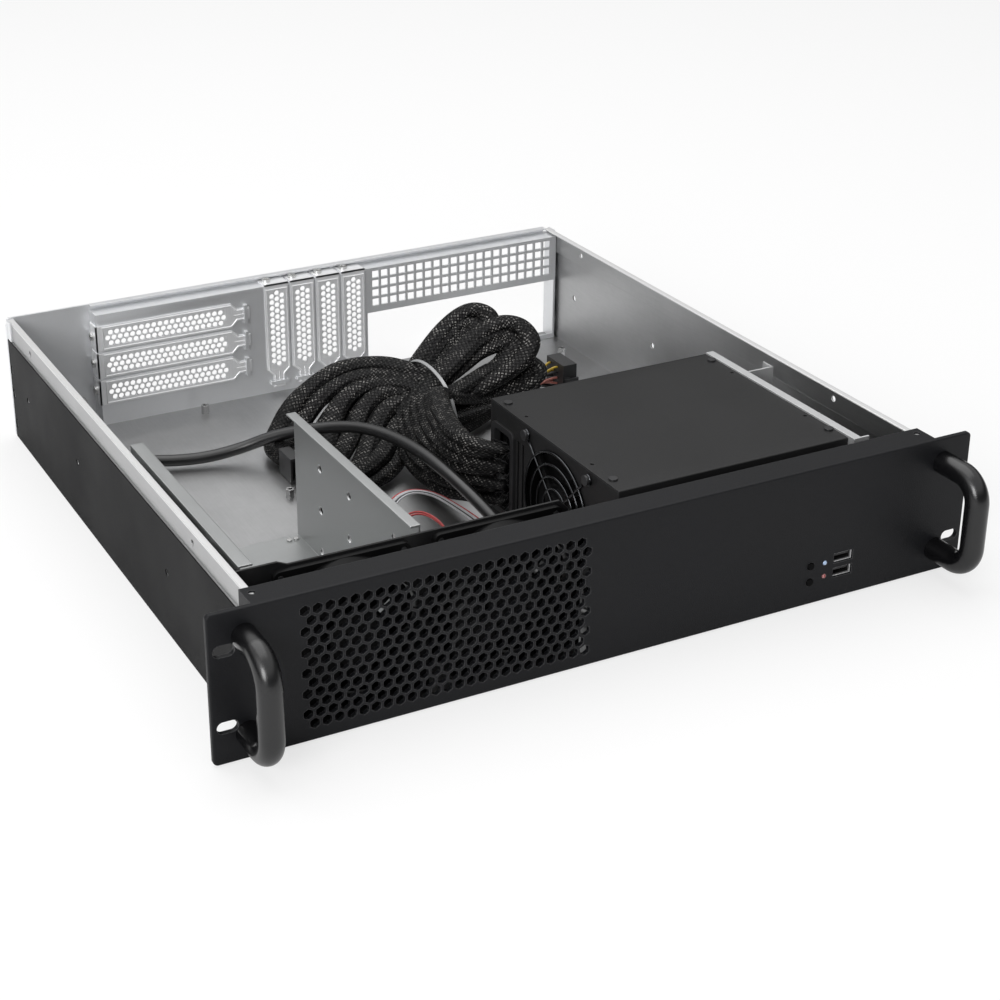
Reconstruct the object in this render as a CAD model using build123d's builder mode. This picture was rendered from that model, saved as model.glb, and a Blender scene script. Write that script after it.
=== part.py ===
# Open rackmount server case, two units high, with its supply, fans and wiring
import os
from math import cos, pi, radians, sin, tan

from build123d import *

os.makedirs("parts", exist_ok=True)

# Driving sizes of the case
panel_w = 482.6          # front panel across the ears
panel_h = 88.0           # two rack units, less clearance
panel_t = 3.0
panel_corner = 3.0
body_w = 430.0           # outside of the side walls
body_depth = 452.0       # front face to rear plane
sheet = 1.2              # folded steel sheet
wall_h = 72.6            # height of the painted lower wall
step_in = 1.5            # how far the upper wall is set in
lid_gap = 1.2            # the tray stops this far under the panel's top
hem = 4.0                # width of the folded top edge
clear = 0.3              # gap between separate bodies

# Driving sizes of the handles
handle_x = 221.5
handle_d = 14.0
handle_bend = 15.0
handle_reach = 32.0      # panel face to the bar's centre line
handle_pitch = 57.0
handle_screw_d = 5.0
handle_screw_len = 14.0

# Rack ear slots
ear_pitch_x = 465.1
ear_pitch_z = 44.45
slot_len = 12.0
slot_w = 7.0

# Front grille
hole_pitch = 7.07
hole_flats = 5.6
grille_cols = 24
grille_rows = 12
grille_x = -188.0        # first hole of the top row
grille_top = 77.6

# Front controls
button_x = 130.3
power_z = 25.2
reset_z = 14.8
button_d = 4.8
button_proud = 0.8
button_len = 9.0
button_travel = 1.2
led_x = 140.6
led_z = (25.0, 16.2)
led_d = 3.0
led_len = 7.0
usb_x = 153.5
usb_z = (26.3, 16.9)
usb_w = 13.1
usb_h = 5.7
usb_len = 14.0
usb_wall = 0.4
io_board_t = 1.6
io_board_w = 46.0
io_board_h = 24.0
io_board_d = 15.0        # panel face to the small board
io_board_z = 11.0

# Rear panel
rear_step = 14.0         # how far the card section is set forward
step_x = -156.0          # left end of the card section
shelf_z = 83.0
slot_pitch = 20.32
cover_w = 18.4
cover_t = 1.0
cover_len_h = 114.0
cover_h_top = 66.6       # middle of the top lying cover
cover_v_x = 40.3         # middle of the standing cover beside the ports
cover_len_v = 76.0
card_slot_w = 13.0
io_w = 158.75
io_h = 44.45
io_x = 51.7
io_z = 4.9
mesh_cols = 21
mesh_rows = 4
mesh_pitch = 7.25
mesh_hole = 5.3
mesh_z = 57.2            # middle of the lowest row

# Board standoffs, on the usual board pattern
board_x = 198.0          # hole beside the ports
board_back = 28.0        # rear plane to the rear row of holes
board_w = 281.94
board_rows = (0.0, 154.94, 227.33)
board_mid = 124.46       # middle column from the port side
port_row_drop = 22.86    # the hole beside the ports stands this far forward
standoff_h = 6.35
standoff_d = 6.0

# Drive cage
cage_x = -206.0
cage_w = 105.8
cage_front = 45.0
cage_len = 171.0
cage_h = 86.0
cage_flange_l = 7.0
cage_flange_r = 5.0
drive_rows = (7.5, 35.5, 63.5)
drive_cols = (31.4, 91.4, 133.0)
drive_hole = 5.5

# Fans
fan_size = 80.0
fan_depth = 25.0
fan_bore = 76.0
fan_hole_pitch = 71.5
fan_z = 42.0
fan_pitch = 94.0
fan_mid_x = -103.0
fan_back = 40.5          # panel face to the bracket
blade_count = 7
rotor_hub_d = 35.0
rotor_gap = 0.9
shaft_d = 3.0
shaft_clear = 0.05
bracket_l = -209.0
bracket_r = -10.0
bracket_h = 83.4
tab_r = -186.0

# Power supply
psu_x = 18.0
psu_len = 159.0
psu_front = 33.0
psu_w = 150.0
psu_h = 83.2
psu_sheet = 1.0
psu_fan_mid = 68.0       # front of the supply to the fan's middle
psu_exit_mid = 133.0     # front of the supply to the cable exit
psu_exit_w = 24.0
psu_exit_h = 56.0
psu_exit_z = 42.0
psu_inlet_mid = 77.0     # front of the supply to the mains inlet
psu_inlet_z = 20.0
psu_switch_mid = 112.0   # front of the supply to the rocker switch
guard_wire = 1.6

# Mains inlets
inlet_w = 27.2
inlet_h = 19.8
inlet_len = 16.0
inlet_flange_t = 1.5
inlet_flange_w = 50.0
inlet_flange_h = 24.0
inlet_screw_pitch = 40.0
rear_inlet_x = -186.0
rear_inlet_z = 16.5

overall_depth = body_depth + handle_reach + handle_d / 2 + inlet_flange_t
front_y = handle_reach + handle_d / 2 - overall_depth / 2
tray_top = panel_h - lid_gap
psu_top = sheet + psu_h
psu_fan_z = (sheet + psu_top - psu_sheet) / 2


def at(depth):
    """The y of a point this far behind the panel's front face."""
    return front_y + depth


def box(x, y, z):
    """A block between two corners, each given as low and high pairs."""
    with Locations(((x[0] + x[1]) / 2, (y[0] + y[1]) / 2, (z[0] + z[1]) / 2)):
        return Box(x[1] - x[0], y[1] - y[0], z[1] - z[0])


def cut(x, y, z):
    """A block taken away between two corners."""
    with Locations(((x[0] + x[1]) / 2, (y[0] + y[1]) / 2, (z[0] + z[1]) / 2)):
        return Box(x[1] - x[0], y[1] - y[0], z[1] - z[0], mode=Mode.SUBTRACT)


def strip(points):
    """The closed outline of a sheet that follows these points along its middle."""
    line = Polyline(*points)
    return offset(line, sheet / 2, kind=Kind.INTERSECTION, side=Side.BOTH)


def keep(piece, name):
    """Names a finished piece and writes it out."""
    piece.part.label = name
    export_step(piece.part, f"parts/{name}.step")


def bores(plane, places, diameter, depth):
    """Plain round holes through a wall, at places on this plane."""
    with BuildSketch(plane) as discs:
        with Locations(*places):
            Circle(diameter / 2)
    extrude(discs.sketch, amount=depth, both=True, mode=Mode.SUBTRACT)


# Tray: floor, side walls with their set-in upper edge, low front flange
inner_x = body_w / 2 - sheet
upper_x = body_w / 2 - step_in
tray_front = panel_t
tray_back = body_depth - sheet
rail_holes = ((136.0, 41.5), (301.0, 41.5), (411.0, 41.5))
lid_holes = ((93.0, 79.5), (400.0, 79.5))
tab_slots = (11.0, 33.3, 50.8)

with BuildPart() as tray:
    with BuildSketch(Plane.XZ.offset(-at(tray_front))):
        with BuildLine():
            mid_x = body_w / 2 - sheet / 2
            set_x = upper_x - sheet / 2
            top_z = tray_top - sheet / 2
            half = [
                (mid_x, sheet / 2),
                (mid_x, wall_h - sheet / 2),
                (set_x, wall_h - sheet / 2),
                (set_x, top_z),
                (set_x - hem + sheet, top_z),
            ]
            strip([(-x, z) for x, z in reversed(half)] + half)
        make_face()
    extrude(amount=-(tray_back - tray_front))
    box((-inner_x, inner_x), (at(tray_front), at(tray_front + sheet)), (0, 6.0))
    for side in (-1, 1):
        wall = Plane((side * body_w / 2, at(0), 0), x_dir=(0, 1, 0), z_dir=(1, 0, 0))
        bores(wall, rail_holes, 4.5, 2 * sheet)
        bores(wall, lid_holes, 4.0, 4 * sheet)
        for slot_z in tab_slots:
            cut(
                (side * body_w / 2 - 2 * sheet, side * body_w / 2 + 2 * sheet),
                (at(tray_back - 6.0), at(tray_back - 1.5)),
                (slot_z - 3.0, slot_z + 3.0),
            )
keep(tray, "tray")

# Front panel: one plate with ears, folded back along its top and both ends
flange_depth = 19.0
flange_half = body_w / 2 + sheet
stud_z = (io_board_z + 3.0, io_board_z + io_board_h - 3.0)
stud_x = (button_x - 5.8, button_x - 5.8 + io_board_w - 7.0)
handle_z = (panel_h / 2 - handle_pitch / 2, panel_h / 2 + handle_pitch / 2)
led_hole = led_d + 0.2
button_hole = button_d + 0.4

with BuildPart() as front_panel:
    with BuildSketch(Plane.XZ.offset(-at(0))):
        with Locations((0, panel_h / 2)):
            RectangleRounded(panel_w, panel_h, panel_corner)
            with GridLocations(ear_pitch_x, ear_pitch_z, 2, 2):
                SlotOverall(slot_len, slot_w, mode=Mode.SUBTRACT)
        for row in range(grille_rows):
            shift = hole_pitch / 2 if row % 2 else 0
            middle_x = grille_x + shift + (grille_cols - 1) * hole_pitch / 2
            row_z = grille_top - row * hole_pitch * cos(pi / 6)
            with Locations((middle_x, row_z)):
                with GridLocations(hole_pitch, 1, grille_cols, 1):
                    RegularPolygon(
                        hole_flats / 2, 6, major_radius=False, rotation=30, mode=Mode.SUBTRACT
                    )
        with Locations((button_x, power_z), (button_x, reset_z)):
            Circle(button_hole / 2, mode=Mode.SUBTRACT)
        with Locations(*[(led_x, z) for z in led_z]):
            Circle(led_hole / 2, mode=Mode.SUBTRACT)
        with Locations(*[(usb_x, z) for z in usb_z]):
            Rectangle(usb_w + 2 * clear, usb_h + 2 * clear, mode=Mode.SUBTRACT)
        with Locations(*[(side * handle_x, z) for side in (-1, 1) for z in handle_z]):
            Circle(handle_screw_d / 2 + clear / 2, mode=Mode.SUBTRACT)
    extrude(amount=-panel_t)
    box((-flange_half, flange_half), (at(0), at(flange_depth)), (panel_h - sheet, panel_h))
    for side in (-1, 1):
        ends = sorted((side * body_w / 2, side * flange_half))
        box(ends, (at(panel_t), at(flange_depth)), (sheet, panel_h))
    top_edge = front_panel.edges().filter_by(Axis.X).group_by(Axis.Y)[0].sort_by(Axis.Z)[-1:]
    fillet(top_edge, 1.0)
    with BuildSketch(Plane.XY.offset(panel_h)):
        with Locations(*[(side * (flange_half - 5.0), at(flange_depth - 6.0)) for side in (-1, 1)]):
            Circle(2.0)
    extrude(amount=-2 * sheet, mode=Mode.SUBTRACT)
keep(front_panel, "front_panel")


def bow_handle(side):
    """A round bar bent into a bow, standing on the panel with its feet square."""
    foot = handle_pitch / 2
    side_plane = Plane((side * handle_x, at(0), panel_h / 2), x_dir=(0, -1, 0), z_dir=(1, 0, 0))
    with BuildPart() as handle:
        with BuildLine(side_plane) as path:
            FilletPolyline(
                (0, foot), (handle_reach, foot), (handle_reach, -foot), (0, -foot), radius=handle_bend
            )
        with BuildSketch(Plane(path.line @ 0, z_dir=path.line % 0)):
            Circle(handle_d / 2)
        sweep()
        with BuildSketch(Plane.XZ.offset(-at(0))):
            with Locations(*[(side * handle_x, z) for z in handle_z]):
                Circle(handle_screw_d / 2)
        extrude(amount=handle_screw_len - panel_t, mode=Mode.SUBTRACT)
    return handle


def pan_screw(plane, length, diameter, head_d, head_h, slot=0.0):
    """A screw standing on its plane: head outside, shank going down the plane's normal."""
    with BuildSketch(plane) as head:
        Circle(head_d / 2)
    extrude(head.sketch, amount=head_h)
    with BuildSketch(plane) as shank:
        Circle(diameter / 2)
    extrude(shank.sketch, amount=-length)
    if slot:
        with BuildSketch(plane.offset(head_h)) as cross:
            Rectangle(slot, head_d * 0.7)
            Rectangle(head_d * 0.7, slot)
        extrude(cross.sketch, amount=-head_h * 0.5, mode=Mode.SUBTRACT)


keep(bow_handle(-1), "handle_left")
keep(bow_handle(1), "handle_right")

with BuildPart() as handle_screws:
    for side in (-1, 1):
        for z in handle_z:
            seat = Plane((side * handle_x, at(panel_t), z), x_dir=(1, 0, 0), z_dir=(0, 1, 0))
            pan_screw(seat, handle_screw_len, handle_screw_d, 8.5, 3.0)
keep(handle_screws, "handle_screws")

# Front controls: buttons, lamps, sockets and the small board that carries them
button_back = button_len - button_proud


def push_button(z):
    """A round key with a retaining collar behind the panel."""
    with BuildPart() as button:
        with BuildSketch(Plane.XZ.offset(-at(-button_proud))):
            with Locations((button_x, z)):
                Circle(button_d / 2)
        extrude(amount=-button_len)
        fillet(button.edges().filter_by(GeomType.CIRCLE).group_by(Axis.Y)[0], 0.5)
        with BuildSketch(Plane.XZ.offset(-at(panel_t + clear))):
            with Locations((button_x, z)):
                Circle(button_d / 2 + 0.8)
        extrude(amount=-1.2)
    return button


keep(push_button(power_z), "power_button")
keep(push_button(reset_z), "reset_button")


with BuildPart() as front_lamps:
    with BuildSketch(Plane.XZ.offset(-at(-0.6))):
        with Locations(*[(led_x, z) for z in led_z]):
            Circle(led_d / 2)
    extrude(amount=-led_len)
    fillet(front_lamps.edges().filter_by(GeomType.CIRCLE).group_by(Axis.Y)[0], led_d * 0.4)
    for z in led_z:
        for leg in (led_x - 0.9, led_x + 0.9):
            box((leg - 0.25, leg + 0.25), (at(led_len - 0.7), at(io_board_d)), (z - 0.25, z + 0.25))
keep(front_lamps, "front_lamps")


def usb_socket(z):
    """The folded metal shell of a socket, open at the front."""
    with BuildPart() as shell:
        box(
            (usb_x - usb_w / 2, usb_x + usb_w / 2),
            (at(io_board_d - usb_len), at(io_board_d)),
            (z - usb_h / 2, z + usb_h / 2),
        )
        mouth = shell.faces().sort_by(Axis.Y)[0]
        offset(amount=-usb_wall, openings=mouth)
    return shell


def usb_tongue(z):
    """The contact block inside a socket."""
    inner_w = usb_w / 2 - usb_wall
    inner_h = usb_h / 2 - usb_wall
    with BuildPart() as tongue:
        box(
            (usb_x - inner_w, usb_x + inner_w),
            (at(io_board_d - 4.0), at(io_board_d - usb_wall)),
            (z - inner_h, z + inner_h),
        )
        box(
            (usb_x - 5.6, usb_x + 5.6),
            (at(io_board_d - usb_len + 1.5), at(io_board_d - 4.0)),
            (z + 0.2, z + 2.0),
        )
    return tongue


for place, z in zip(("upper", "lower"), usb_z):
    keep(usb_socket(z), f"usb_shell_{place}")
    keep(usb_tongue(z), f"usb_tongue_{place}")

with BuildPart() as io_board:
    board_left = stud_x[0] - 3.5
    box(
        (board_left, board_left + io_board_w),
        (at(io_board_d), at(io_board_d + io_board_t)),
        (io_board_z, io_board_z + io_board_h),
    )
    for z in (power_z, reset_z):
        switch_face = button_back + button_travel + clear
        box((button_x - 3, button_x + 3), (at(switch_face), at(io_board_d)), (z - 3, z + 3))
    box(
        (led_x - 6, led_x + 6),
        (at(io_board_d + io_board_t), at(io_board_d + io_board_t + 7.0)),
        (io_board_z + 14.5, io_board_z + 19.5),
    )
keep(io_board, "io_board")

with BuildPart() as io_studs:
    with BuildSketch(Plane.XZ.offset(-at(panel_t))):
        with Locations(*[(x, z) for x in stud_x for z in stud_z]):
            RegularPolygon(2.5, 6)
    extrude(amount=-(io_board_d - panel_t))
keep(io_studs, "io_studs")

# Rear panel: plain left part, card section set forward, shelf and rail on top
rear_y = at(body_depth)
step_y = rear_y - rear_step
card_face = step_y - sheet
cover_face = card_face - cover_t
rows_h = [cover_h_top - i * slot_pitch for i in range(3)]
cols_v = [cover_v_x - i * slot_pitch for i in range(4)]
cover_h_x = (step_x - cover_t, step_x + cover_len_h)
cover_v_top = shelf_z + sheet + cover_t
cover_v_bottom = cover_v_top - cover_len_v - 4.0
screw_drop = rear_step / 2 + 1.0
tab_depth = rear_step - 2.0
screw_side = 4.5
cover_hole = 3.6


def strap(x, z, lying):
    """A raised bridge that holds the narrow end of a slot cover."""
    half_l, half_w = 7.0, 1.3
    sx, sz = (half_w, half_l) if lying else (half_l, half_w)
    lift = cover_t + clear
    box((x - sx, x + sx), (card_face - lift - sheet, card_face), (z - sz, z + sz))
    gap = half_l - sheet
    gx, gz = (half_w + 1, gap) if lying else (gap, half_w + 1)
    cut((x - gx, x + gx), (card_face - lift, card_face), (z - gz, z + gz))


with BuildPart() as rear_panel:
    with BuildSketch(Plane.XY.offset(sheet)):
        with BuildLine():
            out_y = rear_y - sheet / 2
            in_y = step_y - sheet / 2
            left_x = step_x + sheet / 2
            right_x = upper_x - sheet - clear - sheet / 2
            strip([
                (-body_w / 2, out_y),
                (left_x, out_y),
                (left_x, in_y),
                (right_x, in_y),
                (right_x, out_y),
                (body_w / 2, out_y),
            ])
        make_face()
    extrude(amount=shelf_z - sheet)
    box((step_x, right_x + sheet / 2), (card_face, rear_y), (shelf_z, shelf_z + sheet))
    box((step_x, upper_x - 5.0), (rear_y - sheet, rear_y), (shelf_z, panel_h))
    box((step_x, upper_x - 5.0), (rear_y - 5.0, rear_y), (panel_h - sheet, panel_h))
    box((-upper_x, step_x + sheet), (rear_y - sheet, rear_y), (shelf_z, panel_h))
    for side in (-1, 1):
        lap = sorted((side * upper_x, side * (upper_x + sheet)))
        box(lap, (rear_y - 9.0, rear_y), (wall_h + 0.4, tray_top))
    # port opening and card slots
    cut((io_x, io_x + io_w), (card_face, step_y), (io_z, io_z + io_h))
    for z in rows_h:
        slot_x = (step_x + 5.0, step_x + cover_len_h - 16.0)
        cut(slot_x, (card_face, step_y), (z - card_slot_w / 2, z + card_slot_w / 2))
    for x in cols_v:
        slot_z = (cover_v_bottom + 11.0, shelf_z - 3.0)
        cut((x - card_slot_w / 2, x + card_slot_w / 2), (card_face, step_y), slot_z)
    # square mesh over the ports
    with BuildSketch(Plane.XZ.offset(-card_face)):
        with Locations((io_x + io_w / 2, mesh_z + (mesh_rows - 1) * mesh_pitch / 2)):
            with GridLocations(mesh_pitch, mesh_pitch, mesh_cols, mesh_rows):
                Rectangle(mesh_hole, mesh_hole)
    extrude(amount=-sheet, mode=Mode.SUBTRACT)
    # mains inlet
    cut(
        (rear_inlet_x - inlet_w / 2 - clear, rear_inlet_x + inlet_w / 2 + clear),
        (rear_y - sheet, rear_y),
        (rear_inlet_z - inlet_h / 2 - clear, rear_inlet_z + inlet_h / 2 + clear),
    )
    inlet_holes = [(rear_inlet_x + s * inlet_screw_pitch / 2, rear_inlet_z) for s in (-1, 1)]
    bores(Plane.XZ.offset(-rear_y), inlet_holes, 3.4, 2 * sheet)
    for z in rows_h:
        strap(step_x + cover_len_h - 3.5, z, True)
    for x in cols_v:
        strap(x, cover_v_bottom + 4.0, False)
keep(rear_panel, "rear_panel")


def cover_outline(length, neck):
    """A slot cover seen flat: square at the screw end, drawn in to a tongue at the other."""
    half = cover_w / 2
    Polygon(
        (0, half), (length - neck, half), (length - neck + 5.0, 4.5), (length, 4.5),
        (length, -4.5), (length - neck + 5.0, -4.5), (length - neck, -half), (0, -half),
        align=None,
    )


def lying_cover(z):
    """A slot cover lying along the panel, its screw tab folded round the step."""
    with BuildPart() as cover:
        start = (cover_h_x[0], card_face, z)
        with BuildSketch(Plane(start, x_dir=(1, 0, 0), z_dir=(0, -1, 0))):
            cover_outline(cover_h_x[1] - cover_h_x[0], 14.0)
        extrude(amount=cover_t)
        tab_y = (cover_face, card_face + tab_depth)
        box((cover_h_x[0], step_x), tab_y, (z - cover_w / 2, z + cover_w / 2))
        tab_plane = Plane((step_x, 0, 0), x_dir=(0, 1, 0), z_dir=(-1, 0, 0))
        bores(tab_plane, [(rear_y - screw_drop, -z)], cover_hole, 2 * cover_t)
    return cover


def standing_cover(x):
    """A slot cover standing on end, its screw tab folded over the shelf."""
    with BuildPart() as cover:
        start = (x, card_face, cover_v_top)
        with BuildSketch(Plane(start, x_dir=(0, 0, -1), z_dir=(0, -1, 0))):
            cover_outline(cover_v_top - cover_v_bottom, 14.0)
        extrude(amount=cover_t)
        tab_y = (cover_face, card_face + tab_depth)
        box((x - cover_w / 2, x + cover_w / 2), tab_y, (shelf_z + sheet, cover_v_top))
        screw_place = (x - cover_w / 2 + screw_side, rear_y - screw_drop)
        bores(Plane.XY.offset(shelf_z + sheet), [screw_place], cover_hole, 2 * cover_t)
    return cover


for i, z in enumerate(rows_h):
    keep(lying_cover(z), f"slot_cover_lying_{i + 1}")
for i, x in enumerate(cols_v):
    keep(standing_cover(x), f"slot_cover_standing_{i + 1}")

with BuildPart() as slot_screws:
    for z in rows_h:
        seat = Plane((cover_h_x[0], rear_y - screw_drop, z), x_dir=(0, 1, 0), z_dir=(-1, 0, 0))
        pan_screw(seat, cover_t, 3.2, 6.0, 1.8, slot=0.8)
    for x in cols_v:
        seat = Plane((x - cover_w / 2 + screw_side, rear_y - screw_drop, cover_v_top))
        pan_screw(seat, cover_t, 3.2, 6.0, 1.8, slot=0.8)
keep(slot_screws, "slot_screws")

# Board standoffs
rear_row = at(body_depth - board_back)
standoff_places = [(board_x, rear_row - port_row_drop)]
standoff_places += [(board_x, rear_row - d) for d in board_rows[1:]]
standoff_places += [(board_x - board_mid, rear_row - d) for d in board_rows]
standoff_places += [(board_x - board_w, rear_row - d) for d in board_rows]

with BuildPart() as standoffs:
    with BuildSketch(Plane.XY.offset(sheet)):
        with Locations(*standoff_places):
            RegularPolygon(standoff_d / 2, 6)
    extrude(amount=standoff_h)
    with BuildSketch(Plane.XY.offset(sheet + standoff_h)):
        with Locations(*standoff_places):
            Circle(1.5)
    extrude(amount=-standoff_h, mode=Mode.SUBTRACT)
keep(standoffs, "standoffs")

# Drive cage: one sheet folded into a trough, with its top edges turned over
cage_r = cage_x + cage_w
cage_y = (at(cage_front), at(cage_front + cage_len))
foot_screws = ((cage_r - 9.5, cage_y[1] - 6.0), (cage_r - 5.0, cage_y[1] - 6.0))

with BuildPart() as drive_cage:
    with BuildSketch(Plane.XZ.offset(-cage_y[0])):
        with BuildLine():
            floor_z = sheet + sheet / 2
            top_z = cage_h - sheet / 2
            left_x = cage_x + sheet / 2
            right_x = cage_r - sheet / 2
            strip([
                (left_x + cage_flange_l, top_z),
                (left_x, top_z),
                (left_x, floor_z),
                (right_x, floor_z),
                (right_x, top_z),
                (right_x - cage_flange_r, top_z),
            ])
        make_face()
    extrude(amount=-cage_len)
    side_holes = [(d, z) for d in drive_cols for z in drive_rows]
    bores(Plane((0, cage_y[0], 0), x_dir=(0, 1, 0), z_dir=(1, 0, 0)), side_holes, drive_hole, body_w)
    bores(Plane.XY.offset(sheet), foot_screws, 2.2, 2 * sheet)
keep(drive_cage, "drive_cage")

with BuildPart() as cage_screws:
    for x, y in foot_screws:
        pan_screw(Plane((x, y, 2 * sheet), z_dir=(0, 0, 1)), sheet, 2.0, 3.6, 1.2)
keep(cage_screws, "cage_screws")

# Fan bracket: upright sheet behind the fans, with a foot and a raised left tab
fan_x = (fan_mid_x - fan_pitch / 2, fan_mid_x + fan_pitch / 2)
fan_holes = [(x + sx * fan_hole_pitch / 2, fan_z + sz * fan_hole_pitch / 2)
             for x in fan_x for sx in (-1, 1) for sz in (-1, 1)]
bracket_y = at(fan_back)

with BuildPart() as fan_bracket:
    with BuildSketch(Plane.XZ.offset(-bracket_y)):
        with BuildLine():
            Polyline(
                (bracket_l, sheet), (bracket_r, sheet), (bracket_r, bracket_h - 6.0),
                (bracket_r - 6.0, bracket_h), (tab_r + 6.0, bracket_h), (tab_r, cage_h),
                (bracket_l, cage_h), close=True,
            )
        make_face()
        with Locations(*[(x, fan_z) for x in fan_x]):
            Circle(fan_bore / 2, mode=Mode.SUBTRACT)
        with Locations(*fan_holes):
            Circle(1.8, mode=Mode.SUBTRACT)
    extrude(amount=-sheet)
    box((cage_r + 1.0, bracket_r), (bracket_y, bracket_y + 11.0), (sheet, 2 * sheet))
keep(fan_bracket, "fan_bracket")


def fan_frame(plane):
    """A square fan housing: two flanges, round duct, struts and bearing tube."""
    size = fan_size - clear
    with BuildPart() as frame:
        with BuildSketch(plane) as flange:
            RectangleRounded(size, size, 4.0)
            Circle(fan_bore / 2, mode=Mode.SUBTRACT)
            with GridLocations(fan_hole_pitch, fan_hole_pitch, 2, 2):
                Circle(1.9, mode=Mode.SUBTRACT)
        extrude(amount=4.0)
        with BuildSketch(plane):
            Circle(fan_bore / 2 + 1.6)
            Circle(fan_bore / 2, mode=Mode.SUBTRACT)
        extrude(amount=fan_depth)
        with BuildSketch(plane.offset(fan_depth - 4.0)):
            RectangleRounded(size, size, 4.0)
            Circle(fan_bore / 2, mode=Mode.SUBTRACT)
        extrude(amount=4.0)
        with BuildSketch(plane):
            Circle(rotor_hub_d / 2 - 1.0)
            Circle(shaft_d / 2 + shaft_clear, mode=Mode.SUBTRACT)
        extrude(amount=3.0)
        with BuildSketch(plane):
            with PolarLocations((rotor_hub_d + fan_bore) / 4, 4, start_angle=45):
                Rectangle((fan_bore - rotor_hub_d) / 2 + 3.0, 4.0)
        extrude(amount=2.5)
        with BuildSketch(plane.offset(3.0)):
            Circle(4.5)
            Circle(shaft_d / 2 + shaft_clear, mode=Mode.SUBTRACT)
        extrude(amount=10.0)
    return frame


def fan_blade(plane):
    """One twisted blade, lofted from its root in the hub to its tip."""
    root_r = rotor_hub_d / 2 - 0.5
    tip_r = fan_bore / 2 + 1.0
    middle = fan_depth / 2
    with BuildPart() as blade:
        for radius, chord, pitch in ((root_r, 17.0, 46.0), (tip_r, 30.0, 27.0)):
            station = plane.offset(middle)
            origin = station.from_local_coords(Vector(radius, 0, 0))
            face = Plane(origin, x_dir=station.y_dir, z_dir=station.x_dir)
            a = radians(pitch)
            with BuildSketch(face):
                with BuildLine():
                    Polyline(
                        (-chord / 2 * cos(a), -chord / 2 * sin(a)),
                        (-0.5 * sin(a) + 1.2, 0.5 * cos(a) - 1.2),
                        (chord / 2 * cos(a), chord / 2 * sin(a)),
                        (chord / 2 * cos(a) - 1.0 * sin(a), chord / 2 * sin(a) + 1.0 * cos(a)),
                        (-1.5 * sin(a) + 1.2, 1.5 * cos(a) - 1.2),
                        (-chord / 2 * cos(a) - 1.0 * sin(a), -chord / 2 * sin(a) + 1.0 * cos(a)),
                        close=True,
                    )
                make_face()
        loft(ruled=True)
        with BuildSketch(plane):
            Circle(fan_bore / 2 - rotor_gap)
        extrude(amount=fan_depth, mode=Mode.INTERSECT)
    return blade.part


def fan_rotor(plane):
    """The turning part: a cup with its shaft and a ring of blades."""
    blade = fan_blade(plane)
    with BuildPart() as rotor:
        with BuildSketch(plane.offset(4.0)):
            Circle(rotor_hub_d / 2)
        extrude(amount=fan_depth - 6.0)
        with BuildSketch(plane.offset(4.0)):
            Circle(rotor_hub_d / 2 - 1.5)
        extrude(amount=fan_depth - 8.0, mode=Mode.SUBTRACT)
        with BuildSketch(plane.offset(0.5)):
            Circle(shaft_d / 2)
        extrude(amount=fan_depth - 4.0)
        for i in range(blade_count):
            add(blade.rotate(Axis(plane.origin, plane.z_dir), 360 / blade_count * i))
    return rotor


def front_fan_plane(x):
    """The rear face of a front fan, looking out through the grille."""
    return Plane((x, bracket_y - 0.01, fan_z), x_dir=(1, 0, 0), z_dir=(0, -1, 0))


psu_left_in = psu_x + psu_sheet
psu_fan_y = at(psu_front + psu_fan_mid)
psu_fan_plane = Plane((psu_left_in, psu_fan_y, psu_fan_z), x_dir=(0, 1, 0), z_dir=(1, 0, 0))
fan_planes = {
    "left": front_fan_plane(fan_x[0]),
    "right": front_fan_plane(fan_x[1]),
    "psu": psu_fan_plane,
}
for place, plane in fan_planes.items():
    keep(fan_frame(plane), f"fan_frame_{place}")
    keep(fan_rotor(plane), f"fan_rotor_{place}")

with BuildPart() as fan_screws:
    for x, z in fan_holes:
        seat = Plane((x, bracket_y + sheet, z), x_dir=(1, 0, 0), z_dir=(0, 1, 0))
        pan_screw(seat, sheet + 4.0, 3.4, 6.6, 1.8)
keep(fan_screws, "fan_screws")

# Power supply: base trough with both ends, cover over the top and sides
psu_r = psu_x + psu_len
psu_y = (at(psu_front), at(psu_front + psu_w))
base_y = (psu_y[0] + psu_sheet, psu_y[1] - psu_sheet)
psu_exit_y = at(psu_front + psu_exit_mid)
psu_inlet_y = at(psu_front + psu_inlet_mid)
psu_switch_y = at(psu_front + psu_switch_mid)
cover_screw_x = (psu_x + 5.5, psu_r - 3.0)
cover_screw_y = (at(48.0), at(171.0))
cover_hole_y = (at(71.0), at(148.0))
end_lip = 8.0
switch_w = 13.0
switch_h = 19.5
psu_fan_corners = [
    (psu_fan_y + sy * fan_hole_pitch / 2, psu_fan_z + sz * fan_hole_pitch / 2)
    for sy in (-1, 1) for sz in (-1, 1)
]

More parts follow.
